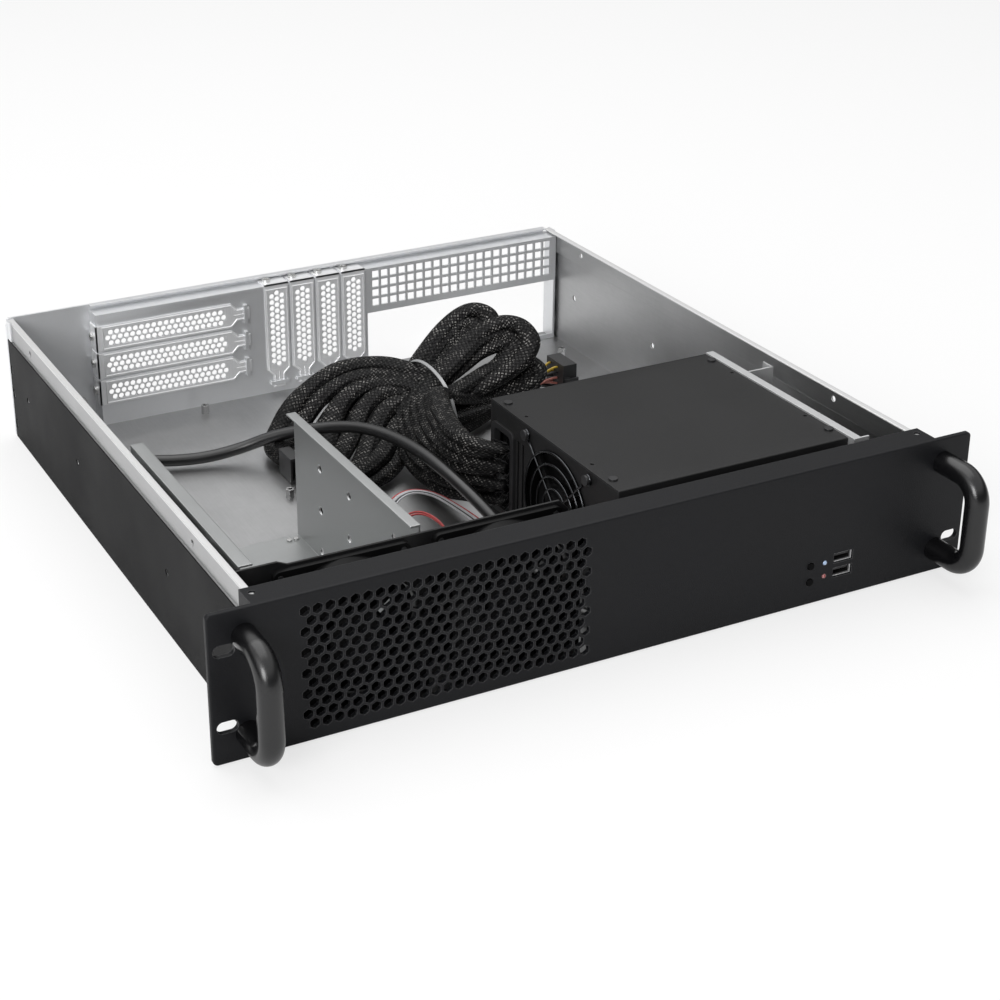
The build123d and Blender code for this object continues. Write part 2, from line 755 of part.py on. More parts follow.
with BuildPart() as psu_base:
    box((psu_x, psu_r), base_y, (sheet, sheet + psu_sheet))
    box((psu_x, psu_x + psu_sheet), base_y, (sheet, psu_top - psu_sheet))
    box((psu_r - psu_sheet, psu_r), base_y, (sheet, psu_top - psu_sheet))
    for end in ((psu_x, psu_x + end_lip), (psu_r - end_lip, psu_r)):
        box(end, base_y, (psu_top - 2 * psu_sheet, psu_top - psu_sheet))
    left_end = Plane((psu_x, 0, 0), x_dir=(0, 1, 0), z_dir=(1, 0, 0))
    bores(left_end, [(psu_fan_y, psu_fan_z)], fan_bore - 2.0, 2 * psu_sheet)
    bores(left_end, psu_fan_corners, 3.8, 2 * psu_sheet)
    cut(
        (psu_x, psu_x + psu_sheet),
        (psu_exit_y - psu_exit_w / 2, psu_exit_y + psu_exit_w / 2),
        (psu_exit_z - psu_exit_h / 2, psu_exit_z + psu_exit_h / 2),
    )
    for slot_y in (at(psu_front + 109.0), at(psu_front + 115.0)):
        cut((psu_x, psu_x + psu_sheet), (slot_y - 1.2, slot_y + 1.2), (18.0, 69.0))
    cut(
        (psu_r - psu_sheet, psu_r),
        (psu_inlet_y - inlet_w / 2, psu_inlet_y + inlet_w / 2),
        (psu_inlet_z - inlet_h / 2, psu_inlet_z + inlet_h / 2),
    )
    cut(
        (psu_r - psu_sheet, psu_r),
        (psu_switch_y - switch_w / 2 - clear, psu_switch_y + switch_w / 2 + clear),
        (psu_inlet_z - switch_h / 2 - clear, psu_inlet_z + switch_h / 2 + clear),
    )
    for i in range(9):
        vent_y = psu_y[0] + 14.0 + 15.0 * i
        cut((psu_r - psu_sheet, psu_r), (vent_y - 5.0, vent_y + 5.0), (48.0, 51.0))
        cut((psu_r - psu_sheet, psu_r), (vent_y - 5.0, vent_y + 5.0), (58.0, 61.0))
keep(psu_base, "psu_base")

with BuildPart() as psu_cover:
    box((psu_x, psu_r), psu_y, (psu_top - psu_sheet, psu_top))
    for y in psu_y:
        side_y = sorted((y, y + psu_sheet if y == psu_y[0] else y - psu_sheet))
        box((psu_x, psu_r), side_y, (sheet + clear, psu_top))
    long_edges = psu_cover.edges().filter_by(Axis.X).group_by(Axis.Z)[-1]
    fillet(long_edges, 0.8)
    top_holes = [(x, y) for x in cover_screw_x for y in cover_screw_y]
    bores(Plane.XY.offset(psu_top), top_holes, 3.2, psu_sheet)
    small_holes = [(x, y) for x in cover_screw_x for y in cover_hole_y]
    bores(Plane.XY.offset(psu_top), small_holes, 2.4, psu_sheet)
keep(psu_cover, "psu_cover")

with BuildPart() as psu_screws:
    for x, y in top_holes:
        pan_screw(Plane((x, y, psu_top), z_dir=(0, 0, 1)), psu_sheet, 3.0, 5.4, 1.0)
    for y, z in psu_fan_corners:
        seat = Plane((psu_x - guard_wire, y, z), x_dir=(0, 1, 0), z_dir=(-1, 0, 0))
        pan_screw(seat, 4.0 + guard_wire, 3.4, 6.6, 1.6)
keep(psu_screws, "psu_screws")

with BuildPart() as psu_guard:
    guard_plane = Plane((psu_x, psu_fan_y, psu_fan_z), x_dir=(0, -1, 0), z_dir=(-1, 0, 0))
    with BuildSketch(guard_plane):
        for radius in (37.0, 29.5, 22.0):
            Circle(radius)
            Circle(radius - guard_wire, mode=Mode.SUBTRACT)
        Circle(14.5)
    extrude(amount=guard_wire)
    with BuildSketch(guard_plane):
        for angle in (45, 135):
            SlotOverall(fan_hole_pitch * 2 ** 0.5 + 6.0, guard_wire * 1.4, rotation=angle)
        with GridLocations(fan_hole_pitch, fan_hole_pitch, 2, 2):
            Circle(3.2)
        with GridLocations(fan_hole_pitch, fan_hole_pitch, 2, 2):
            Circle(1.9, mode=Mode.SUBTRACT)
    extrude(amount=guard_wire)
    with BuildSketch(guard_plane):
        with GridLocations(fan_hole_pitch, fan_hole_pitch, 2, 2):
            Circle(1.9)
    extrude(amount=guard_wire, mode=Mode.SUBTRACT)
keep(psu_guard, "psu_guard")

# Working parts inside the supply
deck_z = sheet + psu_sheet + 5.0
with BuildPart() as psu_board:
    box((psu_x + 30.0, psu_r - 22.0), (base_y[0] + 3.0, base_y[1] - 3.0), (deck_z, deck_z + 1.6))
    for x in (psu_x + 34.0, psu_r - 26.0):
        for y in (base_y[0] + 7.0, base_y[1] - 7.0):
            box((x - 2, x + 2), (y - 2, y + 2), (sheet + psu_sheet, deck_z))
keep(psu_board, "psu_board")

with BuildPart() as psu_heatsinks:
    for y in (psu_y[0] + 42.0, psu_y[0] + 98.0):
        box((psu_x + 36.0, psu_r - 40.0), (y - 1.5, y + 1.5), (deck_z + 1.6, 70.0))
        for i in range(4):
            z = 36.0 + i * 9.0
            box((psu_x + 36.0, psu_r - 40.0), (y - 7.0, y + 7.0), (z - 1.0, z + 1.0))
keep(psu_heatsinks, "psu_heatsinks")

with BuildPart() as psu_transformer:
    box((psu_x + 60.0, psu_x + 96.0), (psu_y[0] + 54.0, psu_y[0] + 86.0), (deck_z + 1.6, deck_z + 7.6))
    box((psu_x + 64.0, psu_x + 92.0), (psu_y[0] + 56.0, psu_y[0] + 84.0), (deck_z + 7.6, 46.0))
keep(psu_transformer, "psu_transformer")

with BuildPart() as psu_capacitors:
    with BuildSketch(Plane.XY.offset(deck_z + 1.6)):
        with Locations((psu_r - 46.0, psu_y[0] + 20.0), (psu_r - 46.0, psu_y[0] + 124.0)):
            RegularPolygon(11.0, 12)
    extrude(amount=38.0)
keep(psu_capacitors, "psu_capacitors")

with BuildPart() as exit_grommet:
    lip_w = psu_exit_w - 0.4
    lip_h = psu_exit_h - 0.4
    with BuildSketch(Plane((psu_x - 1.5, psu_exit_y, psu_exit_z), x_dir=(0, 1, 0), z_dir=(1, 0, 0))):
        RectangleRounded(psu_exit_w + 4.0, psu_exit_h + 4.0, 5.0)
    extrude(amount=1.5)
    with BuildSketch(Plane((psu_x, psu_exit_y, psu_exit_z), x_dir=(0, 1, 0), z_dir=(1, 0, 0))):
        Rectangle(lip_w, lip_h)
    extrude(amount=3.0)
    with BuildSketch(Plane((psu_x - 1.5, psu_exit_y, psu_exit_z), x_dir=(0, 1, 0), z_dir=(1, 0, 0))):
        RectangleRounded(psu_exit_w - 4.0, psu_exit_h - 4.0, 3.0)
    extrude(amount=4.5, mode=Mode.SUBTRACT)
keep(exit_grommet, "exit_grommet")


def mains_socket(plane, flange_t, flange_w):
    """An appliance inlet seen from its mouth: hollow body, flange and three blades."""
    with BuildPart() as socket:
        with BuildSketch(plane):
            Rectangle(inlet_w, inlet_h)
        extrude(amount=-inlet_len)
        if flange_w:
            with BuildSketch(plane):
                RectangleRounded(flange_w, inlet_flange_h, 4.0)
                with Locations((-inlet_screw_pitch / 2, 0), (inlet_screw_pitch / 2, 0)):
                    Circle(1.7, mode=Mode.SUBTRACT)
            extrude(amount=flange_t)
        with BuildSketch(plane.offset(flange_t)):
            RectangleRounded(inlet_w - 3.0, inlet_h - 3.0, 2.0)
        extrude(amount=-(inlet_len + flange_t - 2.0), mode=Mode.SUBTRACT)
        with BuildSketch(plane.offset(-inlet_len + 2.0)):
            with Locations((-7.0, 2.0), (7.0, 2.0), (0, -2.0)):
                Rectangle(2.0, 4.0)
        extrude(amount=inlet_len - 6.0)
    return socket


rear_inlet_plane = Plane((rear_inlet_x, rear_y, rear_inlet_z), x_dir=(-1, 0, 0), z_dir=(0, 1, 0))
keep(mains_socket(rear_inlet_plane, inlet_flange_t, inlet_flange_w), "rear_inlet")
psu_inlet_plane = Plane((psu_r, psu_inlet_y, psu_inlet_z), x_dir=(0, 1, 0), z_dir=(1, 0, 0))
keep(mains_socket(psu_inlet_plane, 0.0, 0.0), "psu_inlet")

with BuildPart() as inlet_screws:
    for x, z in inlet_holes:
        seat = Plane((x, rear_y - sheet, z), x_dir=(1, 0, 0), z_dir=(0, -1, 0))
        pan_screw(seat, sheet + inlet_flange_t, 3.0, 5.6, 2.4)
keep(inlet_screws, "inlet_screws")

# Rocker switch of the supply
switch_x = psu_r
rocker_half = switch_h / 2 - 2.0
rocker_pin = 1.0
with BuildPart() as switch_frame:
    face = Plane((switch_x, psu_switch_y, psu_inlet_z), x_dir=(0, 1, 0), z_dir=(1, 0, 0))
    with BuildSketch(face):
        Rectangle(switch_w + 2.0, switch_h + 2.0)
    extrude(amount=1.5)
    with BuildSketch(face):
        Rectangle(switch_w, switch_h)
    extrude(amount=-11.0)
    with BuildSketch(face.offset(1.5)):
        Rectangle(switch_w - 2.0, switch_h - 2.0)
    extrude(amount=-10.5, mode=Mode.SUBTRACT)
    pin_plane = Plane((switch_x - 2.5, psu_switch_y, psu_inlet_z), x_dir=(1, 0, 0), z_dir=(0, 1, 0))
    with BuildSketch(pin_plane):
        Circle(rocker_pin)
    extrude(amount=switch_w / 2 - 0.5, both=True)
keep(switch_frame, "switch_frame")

with BuildPart() as switch_rocker:
    rocker_plane = Plane((switch_x - 2.5, psu_switch_y, psu_inlet_z), x_dir=(1, 0, 0), z_dir=(0, 1, 0))
    with BuildSketch(rocker_plane):
        with BuildLine():
            Polyline(
                (-3.0, 3.0), (3.0, rocker_half - 1.0), (4.4, rocker_half - 1.2), (3.2, 0),
                (4.4, -rocker_half + 1.2), (3.0, -rocker_half + 1.0), (-3.0, -3.0), close=True,
            )
        make_face()
        Circle(rocker_pin + shaft_clear, mode=Mode.SUBTRACT)
    extrude(amount=switch_w / 2 - 1.5, both=True)
keep(switch_rocker, "switch_rocker")

# Bright edge bracket of the supply, with a lug towards the side wall
rail_x = (psu_r, psu_r + sheet)
rail_y = (at(27.5), at(182.0))
lug_y = at(150.0)
with BuildPart() as psu_rail:
    box(rail_x, rail_y, (68.0, psu_top + sheet))
    box((psu_r, psu_r + 5.5), rail_y, (psu_top, psu_top + sheet))
    box((rail_x[1], psu_r + 11.0), (rail_y[0], rail_y[0] + sheet), (68.0, psu_top + sheet))
    box((rail_x[1], inner_x - 6.0), (lug_y, lug_y + sheet), (68.0, psu_top - 3.0))
    box((inner_x - 7.2, inner_x - 6.0), (lug_y, lug_y + 10.0), (68.0, psu_top - 3.0))
    bores(Plane.XZ.offset(-rail_y[0]), [(psu_r + 6.0, 79.0)], 4.5, 2 * sheet)
keep(psu_rail, "psu_rail")

# Right-angled mains plug on the supply's inlet
plug_x = (psu_r, psu_r + 19.0)
plug_y = (psu_inlet_y - 12.4, psu_inlet_y + 12.4)
plug_exit = (psu_r + 11.0, psu_inlet_y - 20.0, psu_inlet_z)
with BuildPart() as lead_plug:
    box(plug_x, plug_y, (psu_inlet_z - 8.4, psu_inlet_z + 8.4))
    outer = lead_plug.edges().filter_by(Axis.Z).group_by(Axis.X)[-1]
    chamfer(outer, 4.0)
    with BuildSketch(Plane((plug_exit[0], plug_y[0], psu_inlet_z), x_dir=(1, 0, 0), z_dir=(0, -1, 0))):
        Circle(6.0)
    extrude(amount=plug_y[0] - plug_exit[1], taper=8)
keep(lead_plug, "lead_plug")

# Plugs on the supply's cables: the board plug and four drive plugs
board_plug_x = 154.0
board_plug_d = 336.0
board_plug = (11.0, 24.0, 27.0)
drive_plug_places = ((-72.0, 296.0), (-82.0, 229.0), (-65.0, 229.0), (-48.0, 229.0))
drive_plug = (8.0, 20.0, 18.0)
plug_floor = sheet + clear

board_plug_mid = (at(board_plug_d), plug_floor + board_plug[2] / 2)
board_plug_end = board_plug_x + board_plug[0]
board_plug_side = board_plug_mid[0] - board_plug[1] / 2
pin_half = 1.4
pin_pitch = (6.0, 4.2)
pin_rows = (2, 6)
pin_depth = 7.0
latch_t = 3.2
latch_half = 4.0

with BuildPart() as board_plug_body:
    box(
        (board_plug_x, board_plug_end), (board_plug_side, board_plug_side + board_plug[1]),
        (plug_floor, plug_floor + board_plug[2]),
    )
    with BuildSketch(Plane((board_plug_end, *board_plug_mid), x_dir=(0, 1, 0), z_dir=(1, 0, 0))):
        with GridLocations(*pin_pitch, *pin_rows):
            Rectangle(2 * pin_half, 2 * pin_half)
    extrude(amount=-pin_depth, mode=Mode.SUBTRACT)
    latch_z = (board_plug_mid[1] - latch_half, board_plug_mid[1] + latch_half)
    box((board_plug_x + 1.0, board_plug_end), (board_plug_side - latch_t, board_plug_side), latch_z)
    cut((board_plug_x + 5.0, board_plug_end), (board_plug_side - latch_t / 2, board_plug_side), latch_z)
keep(board_plug_body, "board_plug")

with BuildPart() as drive_plugs:
    for x, depth in drive_plug_places:
        y = at(depth)
        plug_z = (plug_floor, plug_floor + drive_plug[2])
        half_x, half_y = drive_plug[0] / 2, drive_plug[1] / 2
        box((x - half_x, x + half_x), (y - half_y, y + half_y), plug_z)
        cut((x - 2.6, x + 2.6), (y - half_y, y - 2.0), (plug_z[0] + 2.0, plug_z[1] - 2.0))
keep(drive_plugs, "drive_plugs")

with BuildPart() as fan_plug:
    box((6.0, 14.0), (at(118.0), at(132.0)), (plug_floor, plug_floor + 6.0))
    cut((7.2, 12.8), (at(118.0), at(125.0)), (plug_floor + 1.2, plug_floor + 4.8))
keep(fan_plug, "fan_plug")

# Cables: hand-chosen points, each x, depth behind the panel, and height
lead_d = 8.0
lead_route = [
    (rear_inlet_x, 435.0, rear_inlet_z), (-187.0, 416.0, 16.0), (-185.0, 390.0, 14.0), (-174.0, 366.0, 10.0),
    (-150.0, 350.0, 7.5), (-119.0, 340.0, 7.0), (-92.0, 335.0, 11.0), (-72.0, 324.0, 21.0),
    (-52.0, 306.0, 29.0), (-37.0, 288.0, 35.0), (-27.0, 268.0, 39.0), (-20.0, 244.0, 41.0),
    (-16.0, 212.0, 42.5), (-14.0, 179.0, 41.0), (-11.0, 152.0, 36.0), (-6.0, 128.0, 27.0),
    (-2.0, 102.0, 15.5), (-1.0, 76.0, 8.0), (-2.0, 48.0, 6.0), (10.5, 26.4, 6.0),
    (32.2, 13.9, 6.2), (75.0, 12.9, 6.0), (125.0, 12.7, 6.0), (161.8, 14.0, 6.2),
    (183.5, 26.5, 6.0), (191.0, 45.0, 8.5), (189.0, 63.0, 16.0), (plug_exit[0], 78.0, psu_inlet_z),
    (plug_exit[0], psu_front + psu_inlet_mid - 20.0, psu_inlet_z),
]
board_lead_d = 10.0
board_lead_route = [
    (52.0, 298.0, 7.5), (72.0, 307.0, 7.5), (93.0, 319.0, 8.5), (114.0, 330.0, 11.5),
    (134.0, board_plug_d, 14.0), (board_plug_x, board_plug_d, 14.0),
]
fan_lead_d = 3.0
fan_lead_route = [
    (-31.0, 40.6, 17.0), (-31.5, 52.0, 16.5), (-36.0, 74.0, 10.0), (-47.0, 102.0, 4.0),
    (-59.0, 130.0, 4.0), (-62.0, 158.0, 9.5), (-52.0, 180.0, 20.0), (-36.0, 191.0, 25.5),
    (-18.0, 188.0, 20.0), (-4.0, 176.0, 10.0), (5.0, 161.0, 4.8), (10.0, 146.0, 4.5), (10.0, 132.0, 4.5),
]


def corner_radii(points, name):
    """The largest even radius for each corner of a route, printed with the route's name."""
    radii = []
    for before, here, after in zip(points, points[1:], points[2:]):
        run_in, run_out = here - before, after - here
        half_turn = radians(run_in.get_angle(run_out)) / 2
        radii.append(0.45 * min(run_in.length, run_out.length) / tan(half_turn))
    print(name, "radii:", [round(r, 1) for r in radii])
    return radii


def cord_tube(route, diameter, name):
    """A round tube along straight runs joined by tangent arcs."""
    points = [Vector(x, at(depth), z) for x, depth, z in route]
    with BuildPart() as tube:
        with BuildLine() as path:
            FilletPolyline(*points, radius=corner_radii(points, name))
        with BuildSketch(Plane(path.line @ 0, z_dir=path.line % 0)):
            Circle(diameter / 2)
        sweep()
    length = path.wires()[0].length
    share = tube.part.volume / (length * pi * diameter ** 2 / 4)
    print(name, "length", round(length), "mm, volume over section times length", round(share, 4))
    return tube


keep(cord_tube(lead_route, lead_d, "mains_lead"), "mains_lead")
keep(cord_tube(board_lead_route, board_lead_d, "board_lead"), "board_lead")
keep(cord_tube(fan_lead_route, fan_lead_d, "fan_lead"), "fan_lead")

# Sleeved harness: the run from the supply, the upright loops and the flat coil
run_route = [
    (psu_x - 1.5, psu_front + psu_exit_mid, psu_exit_z), (7.0, 166.5, 42.0), (4.0, 182.0, 40.0),
    (4.0, 206.0, 36.0), (12.0, 238.0, 34.0), (24.0, 268.0, 34.0), (37.5, 294.5, 36.0),
]
loops_start = Plane((40.0, at(300.0), 37.0), x_dir=(-0.3, 0.95, 0), z_dir=(0.92, 0.3, 0.2))
loops_end = Plane((122.0, at(333.0), 52.0), x_dir=(-0.3, 0.95, 0), z_dir=(0.92, 0.3, 0.2))
coil_heights = (11.0, 35.0)
coil_upper = [
    (30.0, 304.0), (36.0, 344.0), (14.0, 367.0), (-14.0, 368.0), (-38.0, 362.0), (-58.0, 354.0),
    (-60.0, 342.0), (-28.0, 318.0), (0.0, 306.0),
]
coil_lower = [
    (4.0, 306.0), (-28.0, 330.0), (-54.0, 346.0), (-73.0, 334.0), (-77.0, 309.0), (-60.0, 308.0),
    (-62.0, 240.0), (-18.0, 240.0), (-4.0, 270.0),
]

with BuildPart() as harness_run:
    with BuildLine() as run_path:
        FilletPolyline(*[Vector(x, at(depth), z) for x, depth, z in run_route], radius=7.0)
    with BuildSketch(Plane(run_path.line @ 0, x_dir=(0, 1, 0), z_dir=run_path.line % 0)):
        RectangleRounded(13.0, 48.0, 5.0)
    sweep()
keep(harness_run, "harness_run")

with BuildPart() as harness_loops:
    with BuildSketch(loops_start):
        RectangleRounded(46.0, 46.0, 12.0)
    with BuildSketch(loops_end):
        RectangleRounded(34.0, 60.0, 12.0)
    loft()
keep(harness_loops, "harness_loops")

with BuildPart() as harness_coil:
    with BuildSketch(Plane.XY.offset(plug_floor)):
        Polygon(*[(x, at(depth)) for x, depth in coil_lower], align=None)
    extrude(amount=coil_heights[0])
    with BuildSketch(Plane.XY.offset(plug_floor + coil_heights[0])):
        Polygon(*[(x, at(depth)) for x, depth in coil_upper], align=None)
    extrude(amount=coil_heights[1])
keep(harness_coil, "harness_coil")

tie_size = (60.0, 58.0)
tie_corner = 22.0
tie_t = 1.2
tie_w = 5.0
with BuildPart() as harness_tie:
    with BuildSketch(loops_start.offset(2.0)):
        RectangleRounded(*tie_size, tie_corner)
        offset(amount=-tie_t, mode=Mode.SUBTRACT)
    extrude(amount=tie_w)
keep(harness_tie, "harness_tie")
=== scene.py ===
import math

import bmesh
import bpy
import numpy as np
from mathutils import Matrix


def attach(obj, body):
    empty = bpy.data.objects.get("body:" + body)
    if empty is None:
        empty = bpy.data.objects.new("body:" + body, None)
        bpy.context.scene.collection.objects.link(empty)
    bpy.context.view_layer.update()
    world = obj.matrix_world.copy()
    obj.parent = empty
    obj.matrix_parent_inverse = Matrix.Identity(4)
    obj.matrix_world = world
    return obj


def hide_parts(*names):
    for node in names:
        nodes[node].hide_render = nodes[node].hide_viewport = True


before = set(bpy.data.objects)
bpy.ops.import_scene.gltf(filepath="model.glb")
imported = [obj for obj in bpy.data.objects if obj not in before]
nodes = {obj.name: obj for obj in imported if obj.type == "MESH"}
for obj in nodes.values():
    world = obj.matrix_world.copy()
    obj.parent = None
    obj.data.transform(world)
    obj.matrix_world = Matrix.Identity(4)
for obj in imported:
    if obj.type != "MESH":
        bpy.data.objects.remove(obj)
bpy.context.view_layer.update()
frontY = -207.25  # the panel's front face in the frame, mm


def place(points):
    # x, depth behind the panel and height in mm, moved into the frame in metres
    moved = np.array(points, float)
    moved[..., 1] += frontY
    return moved / 1000


# Camera, seen from the front left and above
cameraSet = {"place": (-0.5238, -1.0175, 0.5699), "azimuth": -26.0, "elevation": 23.91,
             "roll": -0.61, "focal": 1977.7, "shift": (0.0915, -0.0783)}


def makeCamera(s):
    # three axes from azimuth and elevation, then turned about the line of sight by the roll
    a, e, t = (math.radians(s[k]) for k in ("azimuth", "elevation", "roll"))
    back = np.array([math.sin(a) * math.cos(e), -math.cos(a) * math.cos(e), math.sin(e)])
    right = np.array([math.cos(a), math.sin(a), 0])
    up = np.cross(back, right)
    axes = np.eye(4)
    axes[:3, 0] = math.cos(t) * right + math.sin(t) * up
    axes[:3, 1] = math.cos(t) * up - math.sin(t) * right
    axes[:3, 2] = back
    axes[:3, 3] = s["place"]
    data = bpy.data.cameras.new("mainCamera")
    data.sensor_width = 36
    data.lens = 36 * s["focal"] / 1000
    data.shift_x, data.shift_y = s["shift"]
    data.clip_start, data.clip_end = 0.05, 60
    camera = bpy.data.objects.new("mainCamera", data)
    bpy.context.scene.collection.objects.link(camera)
    camera.matrix_world = Matrix(axes.tolist())
    bpy.context.scene.camera = camera


makeCamera(cameraSet)
bpy.context.scene.view_settings.view_transform = "Standard"
print("camera placed")


# Shader tools: a node with its values, and a group with named sockets
def addNode(tree, kind, values=None, **settings):
    node = tree.nodes.new(kind)
    for key, value in settings.items():
        setattr(node, key, value)
    for key, value in (values or {}).items():
        if isinstance(value, bpy.types.NodeSocket):
            tree.links.new(value, node.inputs[key])
        else:
            node.inputs[key].default_value = value
    return node


def maths(tree, operation, *values):
    node = tree.nodes.new("ShaderNodeMath")
    node.operation = operation
    for i, value in enumerate(values):
        if isinstance(value, bpy.types.NodeSocket):
            tree.links.new(value, node.inputs[i])
        else:
            node.inputs[i].default_value = value
    return node.outputs[0]


def ramp(tree, value, low, high, outLow=0.0, outHigh=1.0):
    # a value from low to high, brought to outLow to outHigh and held there
    node = addNode(tree, "ShaderNodeMapRange", {0: value, 1: low, 2: high, 3: outLow, 4: outHigh})
    return node.outputs[0]


def mixColour(tree, share, first, second):
    node = addNode(tree, "ShaderNodeMix", data_type="RGBA")
    for key, value in ((0, share), (6, first), (7, second)):
        if isinstance(value, bpy.types.NodeSocket):
            tree.links.new(value, node.inputs[key])
        elif key:
            node.inputs[key].default_value = (*value, 1)
        else:
            node.inputs[key].default_value = value
    return node.outputs[2]


def newGroup(name, inputs, outputs):
    group = bpy.data.node_groups.new(name, "ShaderNodeTree")
    for label, value in inputs.items():
        kind = "NodeSocketVector" if value is None else "NodeSocketFloat"
        socket = group.interface.new_socket(name=label, in_out="INPUT", socket_type=kind)
        if value is not None:
            socket.default_value = value
    for label in outputs:
        group.interface.new_socket(name=label, in_out="OUTPUT", socket_type="NodeSocketFloat")
    return group, group.nodes.new("NodeGroupInput"), group.nodes.new("NodeGroupOutput")


def fineGrainGroup():
    # powder paint: fine pimples for the height, and slow cloudy change for the tone
    group, start, end = newGroup("fineGrain", {"Vector": None, "Scale": 2600.0, "Cloud": 14.0}, ["Height", "Tone"])
    grain = addNode(group, "ShaderNodeTexNoise", {"Vector": start.outputs[0], "Scale": start.outputs[1], "Detail": 3.0})
    cloud = addNode(group, "ShaderNodeTexNoise", {"Vector": start.outputs[0], "Scale": start.outputs[2], "Detail": 4.0})
    group.links.new(grain.outputs[0], end.inputs[0])
    group.links.new(ramp(group, cloud.outputs[0], 0.3, 0.7), end.inputs[1])
    return group


def zincGroup():
    # zinc coat: faint crystals from cells, rolling streaks from a stretched noise, and small stains
    group, start, end = newGroup("zincCoat", {"Vector": None, "Crystal": 260.0, "Streak": 60.0},
                                 ["Tone", "Gloss", "Height"])
    cells = addNode(group, "ShaderNodeTexVoronoi", {"Vector": start.outputs[0], "Scale": start.outputs[1]})
    cellTone = addNode(group, "ShaderNodeSeparateColor", {0: cells.outputs[1]}).outputs[0]
    stretch = addNode(group, "ShaderNodeMapping", {0: start.outputs[0], 3: (22.0, 1.0, 22.0)})
    streak = addNode(group, "ShaderNodeTexNoise", {"Vector": stretch.outputs[0], "Scale": start.outputs[2], "Detail": 4.0})
    stain = addNode(group, "ShaderNodeTexNoise", {"Vector": start.outputs[0], "Scale": 9.0, "Detail": 5.0})
    both = maths(group, "MULTIPLY_ADD", cellTone, 0.15, maths(group, "MULTIPLY", streak.outputs[0], 0.85))
    tone = maths(group, "MULTIPLY_ADD", ramp(group, stain.outputs[0], 0.3, 0.7), 0.45, maths(group, "MULTIPLY", both, 0.55))
    group.links.new(tone, end.inputs[0])
    group.links.new(ramp(group, both, 0.1, 0.9), end.inputs[1])
    group.links.new(streak.outputs[0], end.inputs[2])
    return group


def edgeGroup():
    # how far the rounded normal leaves the flat one: 1 along a sharp edge, 0 on a face
    group, start, end = newGroup("sharpEdgeMask", {"Radius": 0.0006}, ["Edge"])
    soft = addNode(group, "ShaderNodeBevel", {"Radius": start.outputs[0]}, samples=4)
    flat = addNode(group, "ShaderNodeNewGeometry")
    dot = addNode(group, "ShaderNodeVectorMath", {0: soft.outputs[0], 1: flat.outputs["Normal"]}, operation="DOT_PRODUCT")
    group.links.new(ramp(group, dot.outputs["Value"], 0.99, 0.8), end.inputs[0])
    return group


def braidGroup():
    # two families of threads across the UV map, each over the other in turn; a dash shines at each crossing
    group, start, end = newGroup("braid", {"Vector": None, "Around": 12.0, "Along": 12.0}, ["Height", "Thread", "Glint"])
    axes = addNode(group, "ShaderNodeSeparateXYZ", {0: start.outputs[0]})
    around = maths(group, "MULTIPLY", axes.outputs[0], start.outputs[1])
    along = maths(group, "MULTIPLY", axes.outputs[1], start.outputs[2])
    lanes = [maths(group, "ADD", around, along), maths(group, "SUBTRACT", around, along)]
    crests = [maths(group, "SINE", maths(group, "MULTIPLY", maths(group, "FRACT", lane), math.pi)) for lane in lanes]
    turns = maths(group, "ADD", maths(group, "FLOOR", lanes[0]), maths(group, "FLOOR", lanes[1]))
    top = maths(group, "PINGPONG", turns, 1.0)
    shares = [maths(group, "MULTIPLY_ADD", top, 0.45, 0.55), maths(group, "MULTIPLY_ADD", top, -0.45, 1.0)]
    height = maths(group, "MAXIMUM", *[maths(group, "MULTIPLY", c, k) for c, k in zip(crests, shares)])
    speck = addNode(group, "ShaderNodeTexNoise", {"Vector": start.outputs[0], "Scale": 9.0, "Detail": 2.0})
    narrow, wide = [ramp(group, c, 0.78, 1.0) for c in crests], [ramp(group, c, 0.25, 0.7) for c in crests]
    one = maths(group, "MULTIPLY", maths(group, "MULTIPLY", narrow[0], wide[1]), top)
    two = maths(group, "MULTIPLY", maths(group, "MULTIPLY", narrow[1], wide[0]), maths(group, "SUBTRACT", 1.0, top))
    dash = maths(group, "ADD", one, two)
    patch = addNode(group, "ShaderNodeTexNoise", {"Vector": start.outputs[0], "Scale": 1.6, "Detail": 2.0})
    glint = maths(group, "MULTIPLY", dash, ramp(group, speck.outputs[0], 0.46, 0.6, 0.05, 1.0))
    glint = maths(group, "MULTIPLY", glint, ramp(group, patch.outputs[0], 0.38, 0.6, 0.15, 1.0))
    group.links.new(height, end.inputs[0])
    group.links.new(ramp(group, height, 0.3, 0.85), end.inputs[1])
    group.links.new(glint, end.inputs[2])
    return group


groups = {"grain": fineGrainGroup(), "zinc": zincGroup(), "edge": edgeGroup(), "braid": braidGroup()}


def newMaterial(name, coords="Object"):
    material = bpy.data.materials.new(name)
    material.use_nodes = True
    tree = material.node_tree
    tree.nodes.clear()
    shader = tree.nodes.new("ShaderNodeBsdfPrincipled")
    end = tree.nodes.new("ShaderNodeOutputMaterial")
    tree.links.new(shader.outputs[0], end.inputs[0])
    vector = tree.nodes.new("ShaderNodeTexCoord").outputs[coords]
    return material, tree, shader, vector


def useGroup(tree, key, vector=None, **values):
    node = tree.nodes.new("ShaderNodeGroup")
    node.node_tree = groups[key]
    if vector is not None:
        tree.links.new(vector, node.inputs["Vector"])
    for label, value in values.items():
        node.inputs[label].default_value = value
    return node


def finishNormal(tree, shader, height, strength, distance, roundEdge):
    # bump over edges that the bevel node rounds
    bump = addNode(tree, "ShaderNodeBump", {"Strength": strength, "Distance": distance, "Height": height})
    if roundEdge:
        tree.links.new(addNode(tree, "ShaderNodeBevel", {"Radius": roundEdge}, samples=6).outputs[0], bump.inputs["Normal"])
    tree.links.new(bump.outputs[0], shader.inputs["Normal"])


